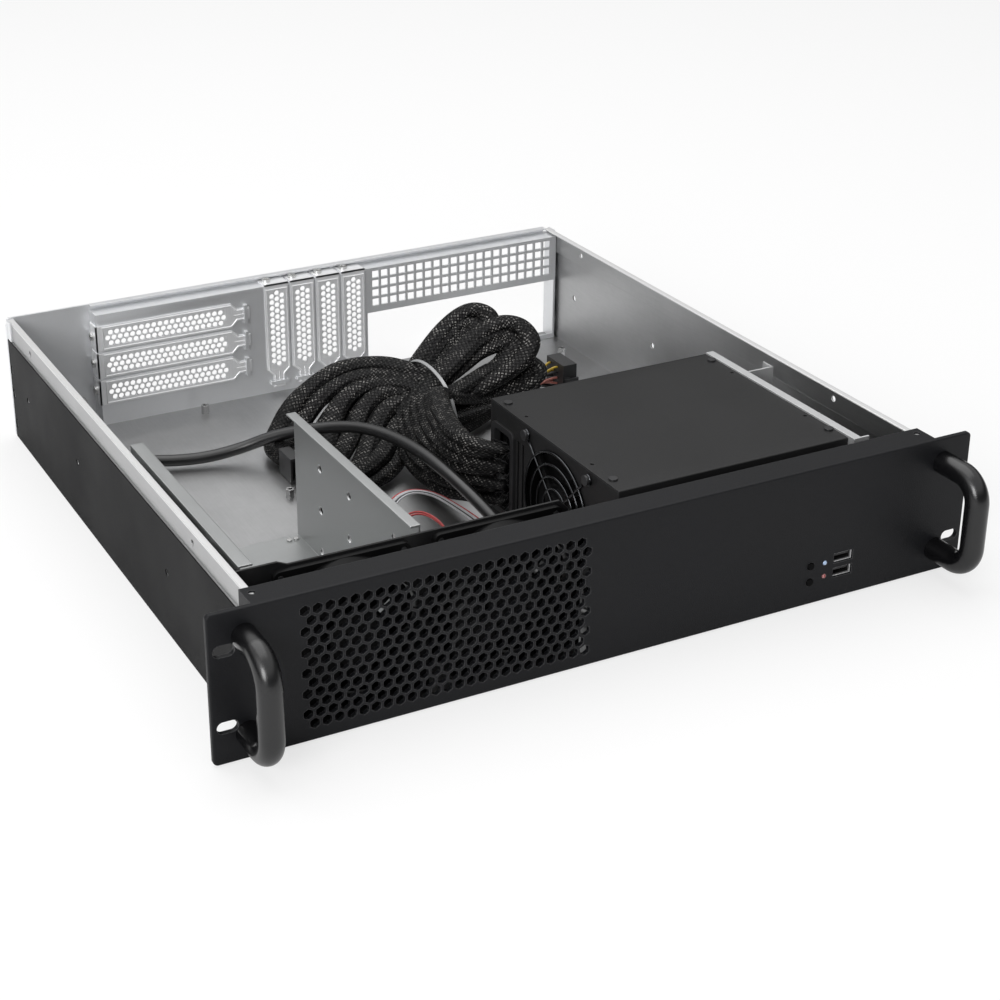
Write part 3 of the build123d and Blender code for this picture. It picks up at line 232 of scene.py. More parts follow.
def paint(name, colour, edgeColour, roughness, grain=2600.0, bump=0.25, roundEdge=0.0006, zincInside=None, specular=0.5):
    # textured paint with lighter edges, partly rubbed paint and partly painted highlight; zincInside keeps the tray's
    # inner faces bare
    material, tree, shader, vector = newMaterial(name)
    coat = useGroup(tree, "grain", vector, Scale=grain)
    height = coat.outputs["Height"]
    edge = useGroup(tree, "edge", Radius=roundEdge)
    dull = tuple(c * 0.72 for c in colour)
    base = mixColour(tree, coat.outputs["Tone"], dull, colour)
    # sharp edges are mixed towards edgeColour: wear on the paint, and a painted highlight where light catches rims and
    # edges
    wearAndHighlight = mixColour(tree, maths(tree, "MULTIPLY", edge.outputs[0], 0.55), base, edgeColour)
    rough = ramp(tree, coat.outputs["Tone"], 0.0, 1.0, roughness - 0.05, roughness + 0.06)
    if zincInside:
        zinc = useGroup(tree, "zinc", vector)
        axes = addNode(tree, "ShaderNodeSeparateXYZ", {0: vector})
        outside = maths(tree, "GREATER_THAN", maths(tree, "ABSOLUTE", axes.outputs[0]), zincInside["wall"])
        low = maths(tree, "LESS_THAN", axes.outputs[2], zincInside["height"])
        under = maths(tree, "LESS_THAN", axes.outputs[2], 0.0003)
        painted = maths(tree, "MAXIMUM", maths(tree, "MULTIPLY", outside, low), under)
        bare = mixColour(tree, zinc.outputs["Tone"], zincInside["dark"], zincInside["light"])
        floor = maths(tree, "LESS_THAN", axes.outputs[2], 0.0016)
        # the top folds get half the metal and a lighter base; the lighter base is painted light where the top lamps
        # fall on them
        lip = maths(tree, "GREATER_THAN", axes.outputs[2], 0.0854)
        bare = mixColour(tree, lip, bare, zincInside["lip"])
        wearAndHighlight = mixColour(tree, painted, bare, wearAndHighlight)
        gloss = ramp(tree, zinc.outputs["Gloss"], 0.0, 1.0, 0.38, 0.44)
        gloss = maths(tree, "MULTIPLY_ADD", floor, -0.04, gloss)
        height = maths(tree, "MULTIPLY", painted, height)
        metal = maths(tree, "MULTIPLY", maths(tree, "SUBTRACT", 1.0, painted), maths(tree, "MULTIPLY_ADD", lip, -0.5, 1.0))
        rough = maths(tree, "MULTIPLY_ADD", painted, maths(tree, "SUBTRACT", rough, gloss), gloss)
        tree.links.new(maths(tree, "MULTIPLY", metal, zincInside["metal"]), shader.inputs["Metallic"])
    tree.links.new(wearAndHighlight, shader.inputs["Base Color"])
    tree.links.new(rough, shader.inputs["Roughness"])
    shader.inputs["Specular IOR Level"].default_value = specular
    finishNormal(tree, shader, height, bump, 0.0002, roundEdge)
    return material


def zincSheet(name, dark, light, metal=0.85, roughness=0.34, roundEdge=0.0005, crystal=260.0):
    material, tree, shader, vector = newMaterial(name)
    zinc = useGroup(tree, "zinc", vector, Crystal=crystal)
    edge = useGroup(tree, "edge", Radius=roundEdge)
    base = mixColour(tree, zinc.outputs["Tone"], dark, light)
    bright = mixColour(tree, maths(tree, "MULTIPLY", edge.outputs[0], 0.6), base, (0.82, 0.83, 0.84))
    tree.links.new(bright, shader.inputs["Base Color"])
    tree.links.new(ramp(tree, zinc.outputs["Gloss"], 0.0, 1.0, roughness - 0.05, roughness + 0.08), shader.inputs["Roughness"])
    shader.inputs["Metallic"].default_value = metal
    finishNormal(tree, shader, zinc.outputs["Height"], 0.04, 0.0002, roundEdge)
    return material


def moulded(name, colour, roughness, metal=0.0, grain=1800.0, bump=0.15, spread=0.75, roundEdge=0.0004, specular=0.5,
            shadeDepth=None):
    # plastic, rubber or plated metal: two tones of one colour over a fine grain, with painted shade darkening it inside
    # from one depth to another
    material, tree, shader, vector = newMaterial(name)
    coat = useGroup(tree, "grain", vector, Scale=grain, Cloud=45.0)
    base = mixColour(tree, coat.outputs["Tone"], tuple(c * spread for c in colour), colour)
    if shadeDepth:
        depth = addNode(tree, "ShaderNodeSeparateXYZ", {0: vector}).outputs[1]
        base = mixColour(tree, ramp(tree, depth, *shadeDepth), base, tuple(c * 0.03 for c in colour))
    tree.links.new(base, shader.inputs["Base Color"])
    tree.links.new(ramp(tree, coat.outputs["Tone"], 0.0, 1.0, roughness - 0.04, roughness + 0.06), shader.inputs["Roughness"])
    shader.inputs["Metallic"].default_value = metal
    shader.inputs["Specular IOR Level"].default_value = specular
    finishNormal(tree, shader, coat.outputs["Height"], bump, 0.0001, roundEdge)
    return material


def braided(name, colour, threadColour, glintColour):
    # sleeve of crossed filaments over the wires that it holds
    material, tree, shader, vector = newMaterial(name, "UV")
    weave = useGroup(tree, "braid", vector)
    base = mixColour(tree, weave.outputs["Thread"], colour, threadColour)
    # the glint dashes are a painted highlight, mixed into the base colour
    base = mixColour(tree, weave.outputs["Glint"], base, glintColour)
    tree.links.new(base, shader.inputs["Base Color"])
    tree.links.new(ramp(tree, weave.outputs["Thread"], 0.0, 1.0, 0.6, 0.42), shader.inputs["Roughness"])
    shader.inputs["Specular IOR Level"].default_value = 0.12
    finishNormal(tree, shader, weave.outputs["Height"], 0.7, 0.0005, 0)
    return material


zincInside = {"wall": 0.2143, "height": 0.0727, "dark": (0.35, 0.352, 0.355), "light": (0.53, 0.532, 0.535),
              "lip": (0.68, 0.68, 0.68), "metal": 1.0}
paints = {
    "panel": paint("panelPaint", (0.0068, 0.007, 0.0084), (0.15, 0.151, 0.155), 0.44, grain=1500.0, bump=0.75,
                   specular=0.18),
    "tray": paint("trayPaint", (0.006, 0.006, 0.0064), (0.04, 0.04, 0.042), 0.5, zincInside=zincInside, specular=0.06),
    "handle": paint("handlePaint", (0.003, 0.003, 0.0035), (0.008, 0.008, 0.009), 0.24, bump=0.03, specular=0.55),
    "supply": paint("supplyPaint", (0.012, 0.012, 0.0124), (0.06, 0.06, 0.062), 0.4, grain=1700.0, bump=0.5, specular=0.26),
    "rear": zincSheet("rearZinc", (0.72, 0.73, 0.745), (0.80, 0.81, 0.825), metal=0.64, roughness=0.34),
    "cage": zincSheet("cageZinc", (0.40, 0.41, 0.41), (0.47, 0.48, 0.48), metal=0.82, roughness=0.32),
    "strip": zincSheet("stripZinc", (0.56, 0.565, 0.57), (0.66, 0.665, 0.67), metal=0.7, roughness=0.38),
    "cover": zincSheet("coverZinc", (0.80, 0.805, 0.815), (0.86, 0.865, 0.875), metal=0.45, roughness=0.34, crystal=420.0),
    "screw": moulded("screwPlate", (0.72, 0.72, 0.71), 0.24, metal=1.0, bump=0.05),
    "darkScrew": moulded("screwBlack", (0.05, 0.05, 0.052), 0.32, metal=0.6, bump=0.08),
    "wire": moulded("guardWirePlate", (0.07, 0.072, 0.076), 0.22, metal=1.0, bump=0.02, roundEdge=0),
    # the socket shell gets painted shade deeper inside its mouth
    "shell": moulded("socketPlate", (0.86, 0.86, 0.87), 0.3, metal=0.55, bump=0.02, roundEdge=0.0002,
                     shadeDepth=(frontY / 1000 + 0.001, frontY / 1000 + 0.0028)),
    "plastic": moulded("blackPlastic", (0.016, 0.016, 0.017), 0.42),
    "fan": moulded("fanPlastic", (0.003, 0.003, 0.0032), 0.45, grain=900.0, specular=0.14),
    "key": moulded("keyPlastic", (0.0015, 0.0015, 0.0016), 0.5, bump=0.05, specular=0.06),
    "board": moulded("boardMask", (0.02, 0.13, 0.06), 0.35, grain=700.0, bump=0.2),
    "post": moulded("postPlate", (0.66, 0.66, 0.66), 0.26, metal=1.0, bump=0.04),
    "sink": moulded("sinkMetal", (0.55, 0.56, 0.57), 0.35, metal=0.9),
    "tape": moulded("coilTape", (0.55, 0.42, 0.08), 0.4),
    "sleeve": moulded("canSleeve", (0.03, 0.04, 0.12), 0.3),
    "rubber": moulded("leadRubber", (0.009, 0.009, 0.0095), 0.33, grain=600.0, bump=0.06, roundEdge=0, specular=0.6),
    "tie": moulded("tiePlastic", (0.36, 0.365, 0.37), 0.3, grain=500.0, bump=0.08, roundEdge=0),
    "braid": braided("braidedSleeve", (0.0014, 0.0014, 0.0016), (0.0035, 0.0035, 0.0037), (0.30, 0.29, 0.275)),
    "bristle": moulded("sleeveBristle", (0.05, 0.05, 0.052), 0.3, bump=0.02, roundEdge=0),
    # fan bracket: near black, with lighter edges
    "bracket": paint("bracketNearBlack", (0.008, 0.008, 0.0085), (0.10, 0.10, 0.10), 0.34, bump=0.08, specular=0.4),
    "yellow": moulded("yellowWire", (0.62, 0.42, 0.03), 0.38, bump=0.03, roundEdge=0),
    "red": moulded("redWire", (0.50, 0.06, 0.06), 0.36, bump=0.03, roundEdge=0),
    "pink": moulded("pinkWire", (0.62, 0.22, 0.18), 0.38, bump=0.03, roundEdge=0),
    "white": moulded("whiteWire", (0.62, 0.62, 0.64), 0.36, bump=0.03, roundEdge=0),
    "dark": moulded("blackWire", (0.014, 0.014, 0.015), 0.36, bump=0.03, roundEdge=0),
}
print("materials made")


# Mesh tools
def makeMesh(name, points, faces, material, uv=None, smooth=True, body="chassis"):
    # points in metres; faces as lists of corners; uv one pair for each face corner
    mesh = bpy.data.meshes.new(name)
    mesh.from_pydata(np.asarray(points, float).reshape(-1, 3).tolist(), [], faces)
    mesh.polygons.foreach_set("use_smooth", np.full(len(faces), smooth))
    if uv is not None:
        mesh.uv_layers.new(name="UVMap").data.foreach_set("uv", np.asarray(uv, float).ravel())
    mesh.materials.append(material)
    mesh.update()
    piece = bpy.data.objects.new(name, mesh)
    bpy.context.scene.collection.objects.link(piece)
    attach(piece, body)
    return piece


def gridFaces(rows, cols, closeRows=False, closeCols=False, start=0):
    # quads between neighbours in a grid of points that is counted row by row
    a, b = np.meshgrid(np.arange(rows - 1 + closeRows), np.arange(cols - 1 + closeCols), indexing="ij")
    down, across = (a + 1) % rows, (b + 1) % cols
    quads = np.stack([a * cols + b, a * cols + across, down * cols + across, down * cols + b], -1)
    return (quads.reshape(-1, 4) + start).tolist()


def splineThrough(name, points, resolution=10):
    # a NURBS curve held by the route's own points
    data = bpy.data.curves.new(name, "CURVE")
    data.dimensions = "3D"
    data.resolution_u = resolution
    spline = data.splines.new("NURBS")
    spline.points.add(len(points) - 1)
    spline.points.foreach_set("co", np.c_[points, np.ones(len(points))].ravel())
    spline.order_u = 3
    spline.use_endpoint_u = True
    curve = bpy.data.objects.new(name, data)
    bpy.context.scene.collection.objects.link(curve)
    return curve


def lineOf(points, resolution=10):
    # the points along the smooth line, read from a curve with no thickness
    curve = splineThrough("lineSource", points, resolution)
    bpy.context.view_layer.update()
    evaluated = curve.evaluated_get(bpy.context.evaluated_depsgraph_get())
    mesh = bpy.data.meshes.new_from_object(evaluated)
    line = np.zeros(len(mesh.vertices) * 3)
    mesh.vertices.foreach_get("co", line)
    bpy.data.objects.remove(curve)
    bpy.data.meshes.remove(mesh)
    return line.reshape(-1, 3)


def levelFrames(line):
    # a level side and an up direction square to the line
    tangent = np.gradient(line, axis=0)
    tangent /= np.linalg.norm(tangent, axis=1)[:, None]
    side = np.cross(tangent, (0, 0, 1))
    side /= np.linalg.norm(side, axis=1)[:, None]
    return tangent, side, np.cross(side, tangent)


def carriedFrames(line):
    # a side and an up direction for each point, carried along the line without twist
    tangent = np.gradient(line, axis=0)
    tangent /= np.linalg.norm(tangent, axis=1)[:, None]
    side = np.zeros_like(line)
    first = np.cross(tangent[0], (0, 0, 1)) if abs(tangent[0, 2]) < 0.9 else np.cross(tangent[0], (1, 0, 0))
    side[0] = first / np.linalg.norm(first)
    for i in range(1, len(line)):
        flat = side[i - 1] - tangent[i] * (side[i - 1] @ tangent[i])
        side[i] = flat / np.linalg.norm(flat)
    return tangent, side, np.cross(tangent, side)


def runLength(line):
    return np.r_[0, np.cumsum(np.linalg.norm(np.diff(line, axis=0), axis=1))]


def tubeAlong(line, radius, sides, ridges=0, ridgeDepth=0.0, twist=0.0, flat=0.0):
    # a ring round each point: radius times 1 plus a cosine ridge, turned by twist radians a metre,
    # wider by flat in the level direction and lower by flat in the upright one
    tangent, side, up = levelFrames(line) if flat else carriedFrames(line)
    along = runLength(line)
    angle = np.linspace(0, 2 * np.pi, sides, endpoint=False)
    shape = 1 - ridgeDepth * (1 - np.abs(np.cos(ridges * angle / 2))[None, :]) * np.ones((len(line), 1))
    turned = angle[None, :] + twist * along[:, None]
    wide, high = (1 + flat) * np.cos(turned), (1 - flat) * np.sin(turned)
    ring = wide[..., None] * side[:, None] + high[..., None] * up[:, None]
    r = np.broadcast_to(np.asarray(radius, float).reshape(-1, 1), (len(line), 1)) * shape
    points = line[:, None] + ring * r[..., None]
    faces = gridFaces(len(line), sides, closeCols=True)
    a, b = np.meshgrid(np.arange(len(line) - 1), np.arange(sides), indexing="ij")
    around = 2 * np.pi * np.max(radius)
    u = np.stack([b, b + 1, b + 1, b], -1) / sides
    v = np.stack([along[a], along[a], along[a + 1], along[a + 1]], -1) / around
    uv = np.stack([u, v], -1).reshape(-1, 2)
    ends = [list(range(sides))[::-1], list(range((len(line) - 1) * sides, len(line) * sides))]
    uv = np.r_[uv, np.zeros((2 * sides, 2))]
    return points.reshape(-1, 3), faces + ends, uv


def boxPoints(low, high):
    # eight corners and six outward faces of a block
    grid = np.array([[x, y, z] for x in (low[0], high[0]) for y in (low[1], high[1]) for z in (low[2], high[2])])
    faces = [[0, 1, 3, 2], [4, 6, 7, 5], [0, 4, 5, 1], [2, 3, 7, 6], [0, 2, 6, 4], [1, 5, 7, 3]]
    return grid, faces


def joined(parts):
    # several (points, faces) pairs as one
    points, faces, count = [], [], 0
    for p, f in parts:
        points.append(np.asarray(p, float).reshape(-1, 3))
        faces += [[i + count for i in face] for face in f]
        count += len(points[-1])
    return np.concatenate(points), faces


# Mains lead: from the inlet at the rear, over the cage's end, under the supply's front to its plug
leadSet = {"diameter": 8.0, "length": 0.757}
leadRoute = [
    (-186, 435, 16.5), (-187, 416, 16), (-185, 390, 14), (-174, 366, 10), (-150, 350, 7.5), (-119, 340, 7),
    (-92, 335, 11), (-72, 324, 21), (-52, 306, 29), (-37, 288, 35), (-27, 268, 39), (-20, 244, 41),
    (-16, 212, 42.5), (-14, 179, 41), (-11, 152, 36), (-6, 128, 27), (-2, 102, 15.5), (-1, 76, 8),
    (-2, 48, 6), (10.5, 26.4, 6), (32.2, 13.9, 6.2), (75, 12.9, 6), (125, 12.7, 6), (161.8, 14, 6.2),
    (183.5, 26.5, 6), (191, 45, 8.5), (189, 63, 16), (188, 78, 20), (188, 90, 20),
]


def makeCordCurve(name, route, diameter, material):
    curve = splineThrough(name, place(route), 12)
    curve.data.bevel_depth = diameter / 2000
    curve.data.bevel_resolution = 5
    curve.data.use_fill_caps = True
    curve.data.materials.append(material)
    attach(curve, "chassis")
    return curve


lead = makeCordCurve("mainsLead", leadRoute, leadSet["diameter"], paints["rubber"])
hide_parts("mains_lead")
leadLine = lineOf(place(leadRoute))
place(leadRoute)[0]

# Strap round the harness: a loose loop through given points, with its head low on the right
tieSet = {"strap": 2.5, "thick": 1.0, "head": (39.0, 276.0, 17.0), "headSize": (4.2, 5.0, 3.4),
          "loop": [(36, 344, 40), (36, 336, 49.5), (36, 321, 55.5), (36, 300, 57.5), (36, 281, 55), (36, 269, 47),
                   (36, 265, 35), (37, 268, 23), (38, 282, 15.5), (39, 303, 14.5), (38, 321, 20.5), (37, 334, 30)]}


def makeTie(s):
    # closed Catmull-Rom loop through the points, with a flat strap as its section
    held = np.array(s["loop"], float)
    count = len(held)
    t = np.linspace(0, 1, 10, endpoint=False)[None, :, None]
    p0, p1, p2, p3 = (np.roll(held, k, 0)[:, None] for k in (1, 0, -1, -2))
    loop = 0.5 * (2 * p1 + (p2 - p0) * t + (2 * p0 - 5 * p1 + 4 * p2 - p3) * t ** 2 + (3 * p1 - p0 - 3 * p2 + p3) * t ** 3)
    loop = loop.reshape(-1, 3)
    angle = np.linspace(0, 2 * np.pi, len(loop), endpoint=False)
    loop[:, 0] += 1.6 * np.sin(2 * angle)
    axis = np.array([0.95, 0.22, 0.2]) / np.linalg.norm([0.95, 0.22, 0.2])
    run = np.roll(loop, -1, 0) - np.roll(loop, 1, 0)
    out = np.cross(run, axis)
    out /= np.linalg.norm(out, axis=1)[:, None]
    corners = [(-1, -1), (1, -1), (1, 1), (-1, 1)]
    grid = np.stack([loop + axis * a * s["strap"] / 2 + out * b * s["thick"] / 2 for a, b in corners], 1)
    half = np.array(s["headSize"]) / 2
    head, headFaces = boxPoints(np.array(s["head"]) - half, np.array(s["head"]) + half)
    points, faces = joined([(grid, gridFaces(10 * count, 4, closeRows=True, closeCols=True)), (head, headFaces)])
    tie = makeMesh("harnessStrap", place(points), faces, paints["tie"], smooth=False)
    bevel = tie.modifiers.new("soft", "BEVEL")
    bevel.width, bevel.segments = 0.0003, 2
    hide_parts("harness_tie")
    return tie


strap = makeTie(tieSet)

# Harness: seven sleeved cables, up in two loops, back through the strap and round to their plugs
harnessSet = {"ridges": 9, "ridgeDepth": 0.09, "sides": 36, "flat": 0.2, "mouth": 0.62, "tail": 0.62}
harnessRoutes = {
    "A": (13.0, [
        (17, 160, 23), (9, 187, 17), (0, 211, 13), (-1, 247, 13), (5, 284, 17), (15, 311, 25), (27, 326, 34),
        (37, 331, 45), (58, 341, 59), (77, 348, 70), (91, 346, 77), (100, 338, 74), (97, 328, 65), (84, 321, 56),
        (67, 320, 49), (48, 319, 46), (34, 331, 46), (24, 347, 47), (8, 360, 45), (-12, 362, 42), (-34, 358, 33),
        (-51, 350, 23), (-61, 344, 13), (-69, 334, 8.5), (-72, 321, 8), (-72, 306, 8)]),
    "B": (12.4, [
        (17, 171, 28), (8, 187, 24), (-1, 210, 20.5), (-1, 243, 20), (7, 279, 23), (17, 305, 30), (33, 322, 38),
        (49, 333, 50), (67, 341, 61), (81, 343, 68), (89, 336, 69), (86, 327, 64), (74, 321, 56), (56, 314, 49),
        (41, 314, 43), (29, 329, 42), (15, 344, 42), (-6, 349, 40), (-26, 346, 33), (-40, 342, 22), (-52, 336, 14),
        (-62, 328, 13.5), (-70, 318, 14.5), (-72, 306, 15)]),
    "C": (13.0, [
        (17, 160, 34), (7, 184, 31), (0, 207, 28), (1, 240, 28), (9, 274, 30), (19, 297, 35), (33, 305, 42),
        (51, 310, 53), (75, 319, 65), (96, 321, 73), (110, 315, 73), (114, 303, 67), (108, 294, 59), (93, 289, 51),
        (70, 287, 44), (50, 290, 39), (37, 305, 38), (27, 324, 40), (11, 338, 38), (-7, 337, 36), (-26, 325, 30),
        (-38, 310, 20), (-50, 291, 12), (-64, 270, 8), (-78, 254, 7.5), (-82, 239, 7.5)]),
    "D": (12.4, [
        (17, 171, 40), (7, 180, 38), (0, 203, 36), (2, 235, 35), (11, 268, 36), (21, 290, 40), (33, 297, 47),
        (55, 305, 56), (79, 317, 64), (96, 317, 67), (105, 309, 65), (103, 302, 58), (89, 301, 50), (66, 297, 42),
        (46, 300, 36.5), (32, 313, 36), (20, 325, 36), (4, 326, 34), (-11, 317, 28), (-24, 302, 20), (-42, 284, 14),
        (-60, 266, 13), (-76, 252, 14), (-82, 239, 14)]),
    "E": (12.6, [
        (17, 160, 46), (6, 177, 46), (-1, 199, 44), (4, 230, 42), (13, 261, 42), (23, 284, 45), (37, 288, 43),
        (55, 289, 43), (80, 295, 48), (101, 300, 51), (114, 297, 49), (114, 290, 42), (102, 290, 36), (82, 294, 32),
        (59, 297, 29), (39, 301, 30), (26, 312, 32), (12, 313, 32), (-3, 305, 26), (-16, 290, 18), (-32, 272, 10),
        (-50, 258, 8), (-63, 250, 7.5), (-65, 239, 7.5)]),
    "F": (11.8, [
        (17, 171, 52), (5, 173, 53), (-1, 195, 51), (5, 225, 50), (15, 255, 49), (25, 278, 50), (38, 281, 45),
        (60, 290, 47), (82, 298, 50), (101, 303, 50), (108, 298, 45), (101, 291, 39), (86, 294, 35), (64, 296, 30),
        (44, 296, 26), (28, 300, 27), (14, 300, 27), (0, 288, 22), (-12, 276, 15), (-30, 262, 13.5), (-48, 254, 13.5),
        (-61, 248, 14), (-65, 239, 14)]),
    "G": (12.0, [
        (17, 160, 59), (4, 169, 60), (-1, 191, 59), (6, 220, 57), (16, 251, 55), (27, 274, 53), (38, 277, 45),
        (59, 286, 37), (86, 301, 31), (111, 314, 24), (128, 325, 16), (126, 325, 9), (109, 323, 8), (83, 317, 8.5),
        (54, 304, 13), (32, 293, 20), (16, 288, 21), (3, 279, 16), (-8, 268, 9), (-22, 258, 7.5), (-37, 251, 7.5),
        (-46, 246, 8), (-48, 239, 9)]),
    "H": (13.0, [
        (46, 326, 44), (32, 338, 39), (17, 352, 38), (0, 355, 35), (-18, 354, 31), (-36, 349, 23), (-49, 341, 14),
        (-60, 331, 9), (-68, 318, 9), (-72, 306, 11)]),
    "I": (13.0, [
        (44, 310, 38), (30, 325, 34), (17, 340, 32), (0, 343, 30), (-17, 338, 26), (-32, 329, 18), (-42, 317, 11),
        (-52, 298, 8), (-64, 272, 8), (-76, 250, 9), (-82, 239, 10)]),
    "J": (12.0, [
        (42, 304, 31), (28, 319, 30), (14, 331, 29), (-3, 331, 27), (-18, 321, 21), (-30, 307, 14), (-42, 290, 9),
        (-56, 264, 8), (-65, 239, 10)]),
    "K": (11.0, [
        (43, 320, 42), (57, 330, 51), (70, 336, 60), (81, 336, 65), (84, 330, 63), (78, 325, 57), (65, 319, 50),
        (50, 315, 43)]),
    "L": (13.0, [
        (46, 302, 45), (61, 306, 51), (78, 311, 58), (93, 311, 62), (99, 306, 60), (94, 301, 53), (77, 297, 46),
        (58, 295, 40)]),
}


def makeStrand(key, diameter, route, s, others=()):
    # the sleeve is drawn in where it leaves the supply and where it ends at its plug
    line = lineOf(place(route), 9)
    along = runLength(line) * 1000
    left = along[-1] - along
    width = (s["mouth"] + (1 - s["mouth"]) * np.clip(along / 55, 0, 1)) * (s["tail"] + (1 - s["tail"]) * np.clip(left / 34, 0, 1))
    swell = 1 + 0.035 * np.sin(along / 9.0 + len(route)) * np.sin(along / 31.0)
    radius = diameter / 2000 * width * swell
    points, faces, uv = tubeAlong(line, radius, s["sides"], s["ridges"], s["ridgeDepth"], 9.0, s["flat"])
    piece = makeMesh(f"harnessCable{key}", points, faces, paints["braid"], uv)
    print(f"harness cable {key}: {along[-1]:.0f} mm")
    return piece


strands = [makeStrand(key, *cable, harnessSet, [strap] if key == "A" else []) for key, cable in harnessRoutes.items()]
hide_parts("harness_run", "harness_loops", "harness_coil")

# Cut ends of the sleeves: fine bristles that stand out round the mouth in the supply's side
bristleSet = {"cables": "ABCDEFG", "count": 34, "long": (3.0, 7.5), "thick": 0.16}


def makeBristles(s):
    # each bristle is a three-sided spike, from the sleeve's edge outwards and a little back over the cable
    rng = np.random.default_rng(7)
    parts = []
    for diameter, route in [cable for key, cable in harnessRoutes.items() if key in s["cables"]]:
        x, d, z = route[0]
        count = s["count"]
        angle = rng.uniform(0, 2 * np.pi, count)
        out = np.c_[np.zeros(count), np.cos(angle), np.sin(angle)]
        reach = rng.uniform(*s["long"], count)[:, None]
        root = np.array([x - 0.6, d, z]) + out * diameter * 0.33
        lean = out * 0.75 + np.c_[rng.uniform(-1.0, -0.25, count), rng.normal(0, 0.3, (count, 2))]
        tip = root + lean * reach
        tip[:, 0] = np.minimum(tip[:, 0], x - 0.4)
        middle = (root + tip) / 2 + rng.normal(0, 0.5, (count, 3)) - (0.3, 0, 0)
        corner = np.array([(np.cos(a), np.sin(a)) for a in (0.5, 2.6, 4.7)]) * s["thick"]
        base = np.c_[corner[:, 0] * 0.4, corner][None]
        rings = [root[:, None] + base, middle[:, None] + base * 0.8, tip[:, None] + base * 0.25]
        grid = np.stack(rings, 1).reshape(-1, 3)
        faces = []
        for i in range(count):
            faces += gridFaces(3, 3, closeCols=True, start=9 * i) + [[9 * i, 9 * i + 1, 9 * i + 2], [9 * i + 8, 9 * i + 7, 9 * i + 6]]
        parts.append((place(grid), faces))
    points, faces = joined(parts)
    makeMesh("sleeveBristles", points, faces, paints["bristle"])


makeBristles(bristleSet)

# Board lead: a sleeve low beside the supply, taped where its wires fan out to the plug
boardSet = {"diameter": 10.0, "wires": 9, "wireRadius": 0.85}
boardRoute = [(52, 298, 7.5), (72, 307, 7.5), (93, 319, 8.5), (110, 328.5, 11), (124, 334.5, 12.8), (137, 336, 13.8)]
boardLine = lineOf(place(boardRoute), 8)
points, faces, uv = tubeAlong(boardLine, boardSet["diameter"] / 2000, 36, 10, 0.07, 6.0)
boardSleeve = makeMesh("boardSleeve", points, faces, paints["braid"], uv)
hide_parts("board_lead")


def wireFan(name, starts, ends, bulge, radius, material):
    # wires from the sleeve's mouth to the plug: a cubic from start to end, lifted in its middle
    t = np.linspace(0, 1, 14)[:, None]
    parts = []
    for a, b in zip(place(starts), place(ends)):
        ease = t * t * (3 - 2 * t)
        line = a + (b - a) * np.c_[t[:, 0], ease[:, 0], ease[:, 0]]
        line[:, 2] += bulge / 1000 * np.sin(np.pi * t[:, 0])
        p, f, _ = tubeAlong(line, radius / 1000, 10)
        parts.append((p, f))
    p, f = joined(parts)
    return makeMesh(name, p, f, material)


wireGroups = {
    "boardWiresYellow": ("yellow", [(0, 2.6, 7.0, 24.6), (1, 0.6, 2.6, 20.4), (2, 1.4, -3.0, 24.6)]),
    "boardWiresRed": ("pink", [(0, -2.2, -3.0, 16.2), (1, -0.6, -3.0, 12.0), (2, 1.8, 3.0, 12.0)]),
    "boardWiresBlack": ("dark", [(0, -3.2, -3.0, 7.8), (1, -2.8, 3.0, 7.8), (2, 3.0, 3.0, 16.2), (3, 0.0, -3.0, 20.4)]),
}
for name, (finish, rows) in wireGroups.items():
    starts = [(136, 336 + y, 12.4 + 1.1 * i) for i, y, _, _ in rows]
    ends = [(154.5, 336 + y, z) for _, _, y, z in rows]
    wireFan(name, starts, ends, 1.2, boardSet["wireRadius"], paints[finish])
tapeLine = place([(126, 334.9, 13.0), (128, 335.2, 13.1), (135, 335.9, 13.7), (139, 336, 13.9)])
points, faces, uv = tubeAlong(tapeLine, np.array([5.4, 5.7, 5.5, 4.9]) / 1000, 32)
tape = makeMesh("boardTape", points, faces, paints["plastic"])

# Fan lead: a flat row of thin wires, from the right fan's frame to its plug
fanSet = {"wire": 1.3, "finishes": ("red", "white", "white", "dark", "white")}
fanRoute = [(-31, 42.2, 17), (-31.5, 52, 16.5), (-36, 74, 10), (-47, 102, 4), (-60, 132, 4), (-66, 160, 9),
            (-57, 184, 19), (-38, 198, 25.5), (-18, 197, 22), (-3, 183, 12), (6, 164, 4.8), (10, 146, 4.5), (10, 132, 4.5)]
redRoute = [(-31, 42.2, 14), (-31.5, 54, 13), (-33, 76, 7), (-32, 105, 5), (-30, 130, 9), (-28, 150, 15), (-29, 166, 19),
            (-36, 178, 20.5), (-48, 177, 18), (-58, 168, 14), (-57, 158, 12), (-46, 153, 11), (-34, 149, 9), (-20, 146, 5),
            (-6, 142, 3.4), (4, 138, 4), (9.5, 134, 4.5), (9.5, 131, 4.5)]
fanWires = []
for i, finish in enumerate(fanSet["finishes"]):
    points = np.array(fanRoute, float)
    tangent = np.gradient(points, axis=0)
    level = np.cross(tangent, (0, 0, 1))
    level /= np.linalg.norm(level, axis=1)[:, None]
    points += level * (i - 2) * fanSet["wire"] * 0.98
    wire = makeCordCurve(f"fanWire{i + 1}", points, fanSet["wire"], paints[finish])
    fanWires.append((wire, points))
for i, sign in enumerate((-0.55, 0.55)):
    points = np.array(redRoute, float) + (0, sign, sign)
    wire = makeCordCurve(f"redWire{i + 1}", points, fanSet["wire"], paints["red"])
    fanWires.append((wire, points))
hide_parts("fan_lead")
for wire, points in fanWires:
    place(points)[0]
    runLength(lineOf(place(points)))[-1]
print("cords made")

# Slot covers: perforated plates with a raised rim, a drawn-in tongue and a folded screw tab
coverSet = {"width": 18.4, "thick": 1.0, "hole": 3.7, "pitch": 4.55, "rowPitch": 3.95, "cardFace": 436.8,
            "tongue": 14.0, "rim": 0.55}


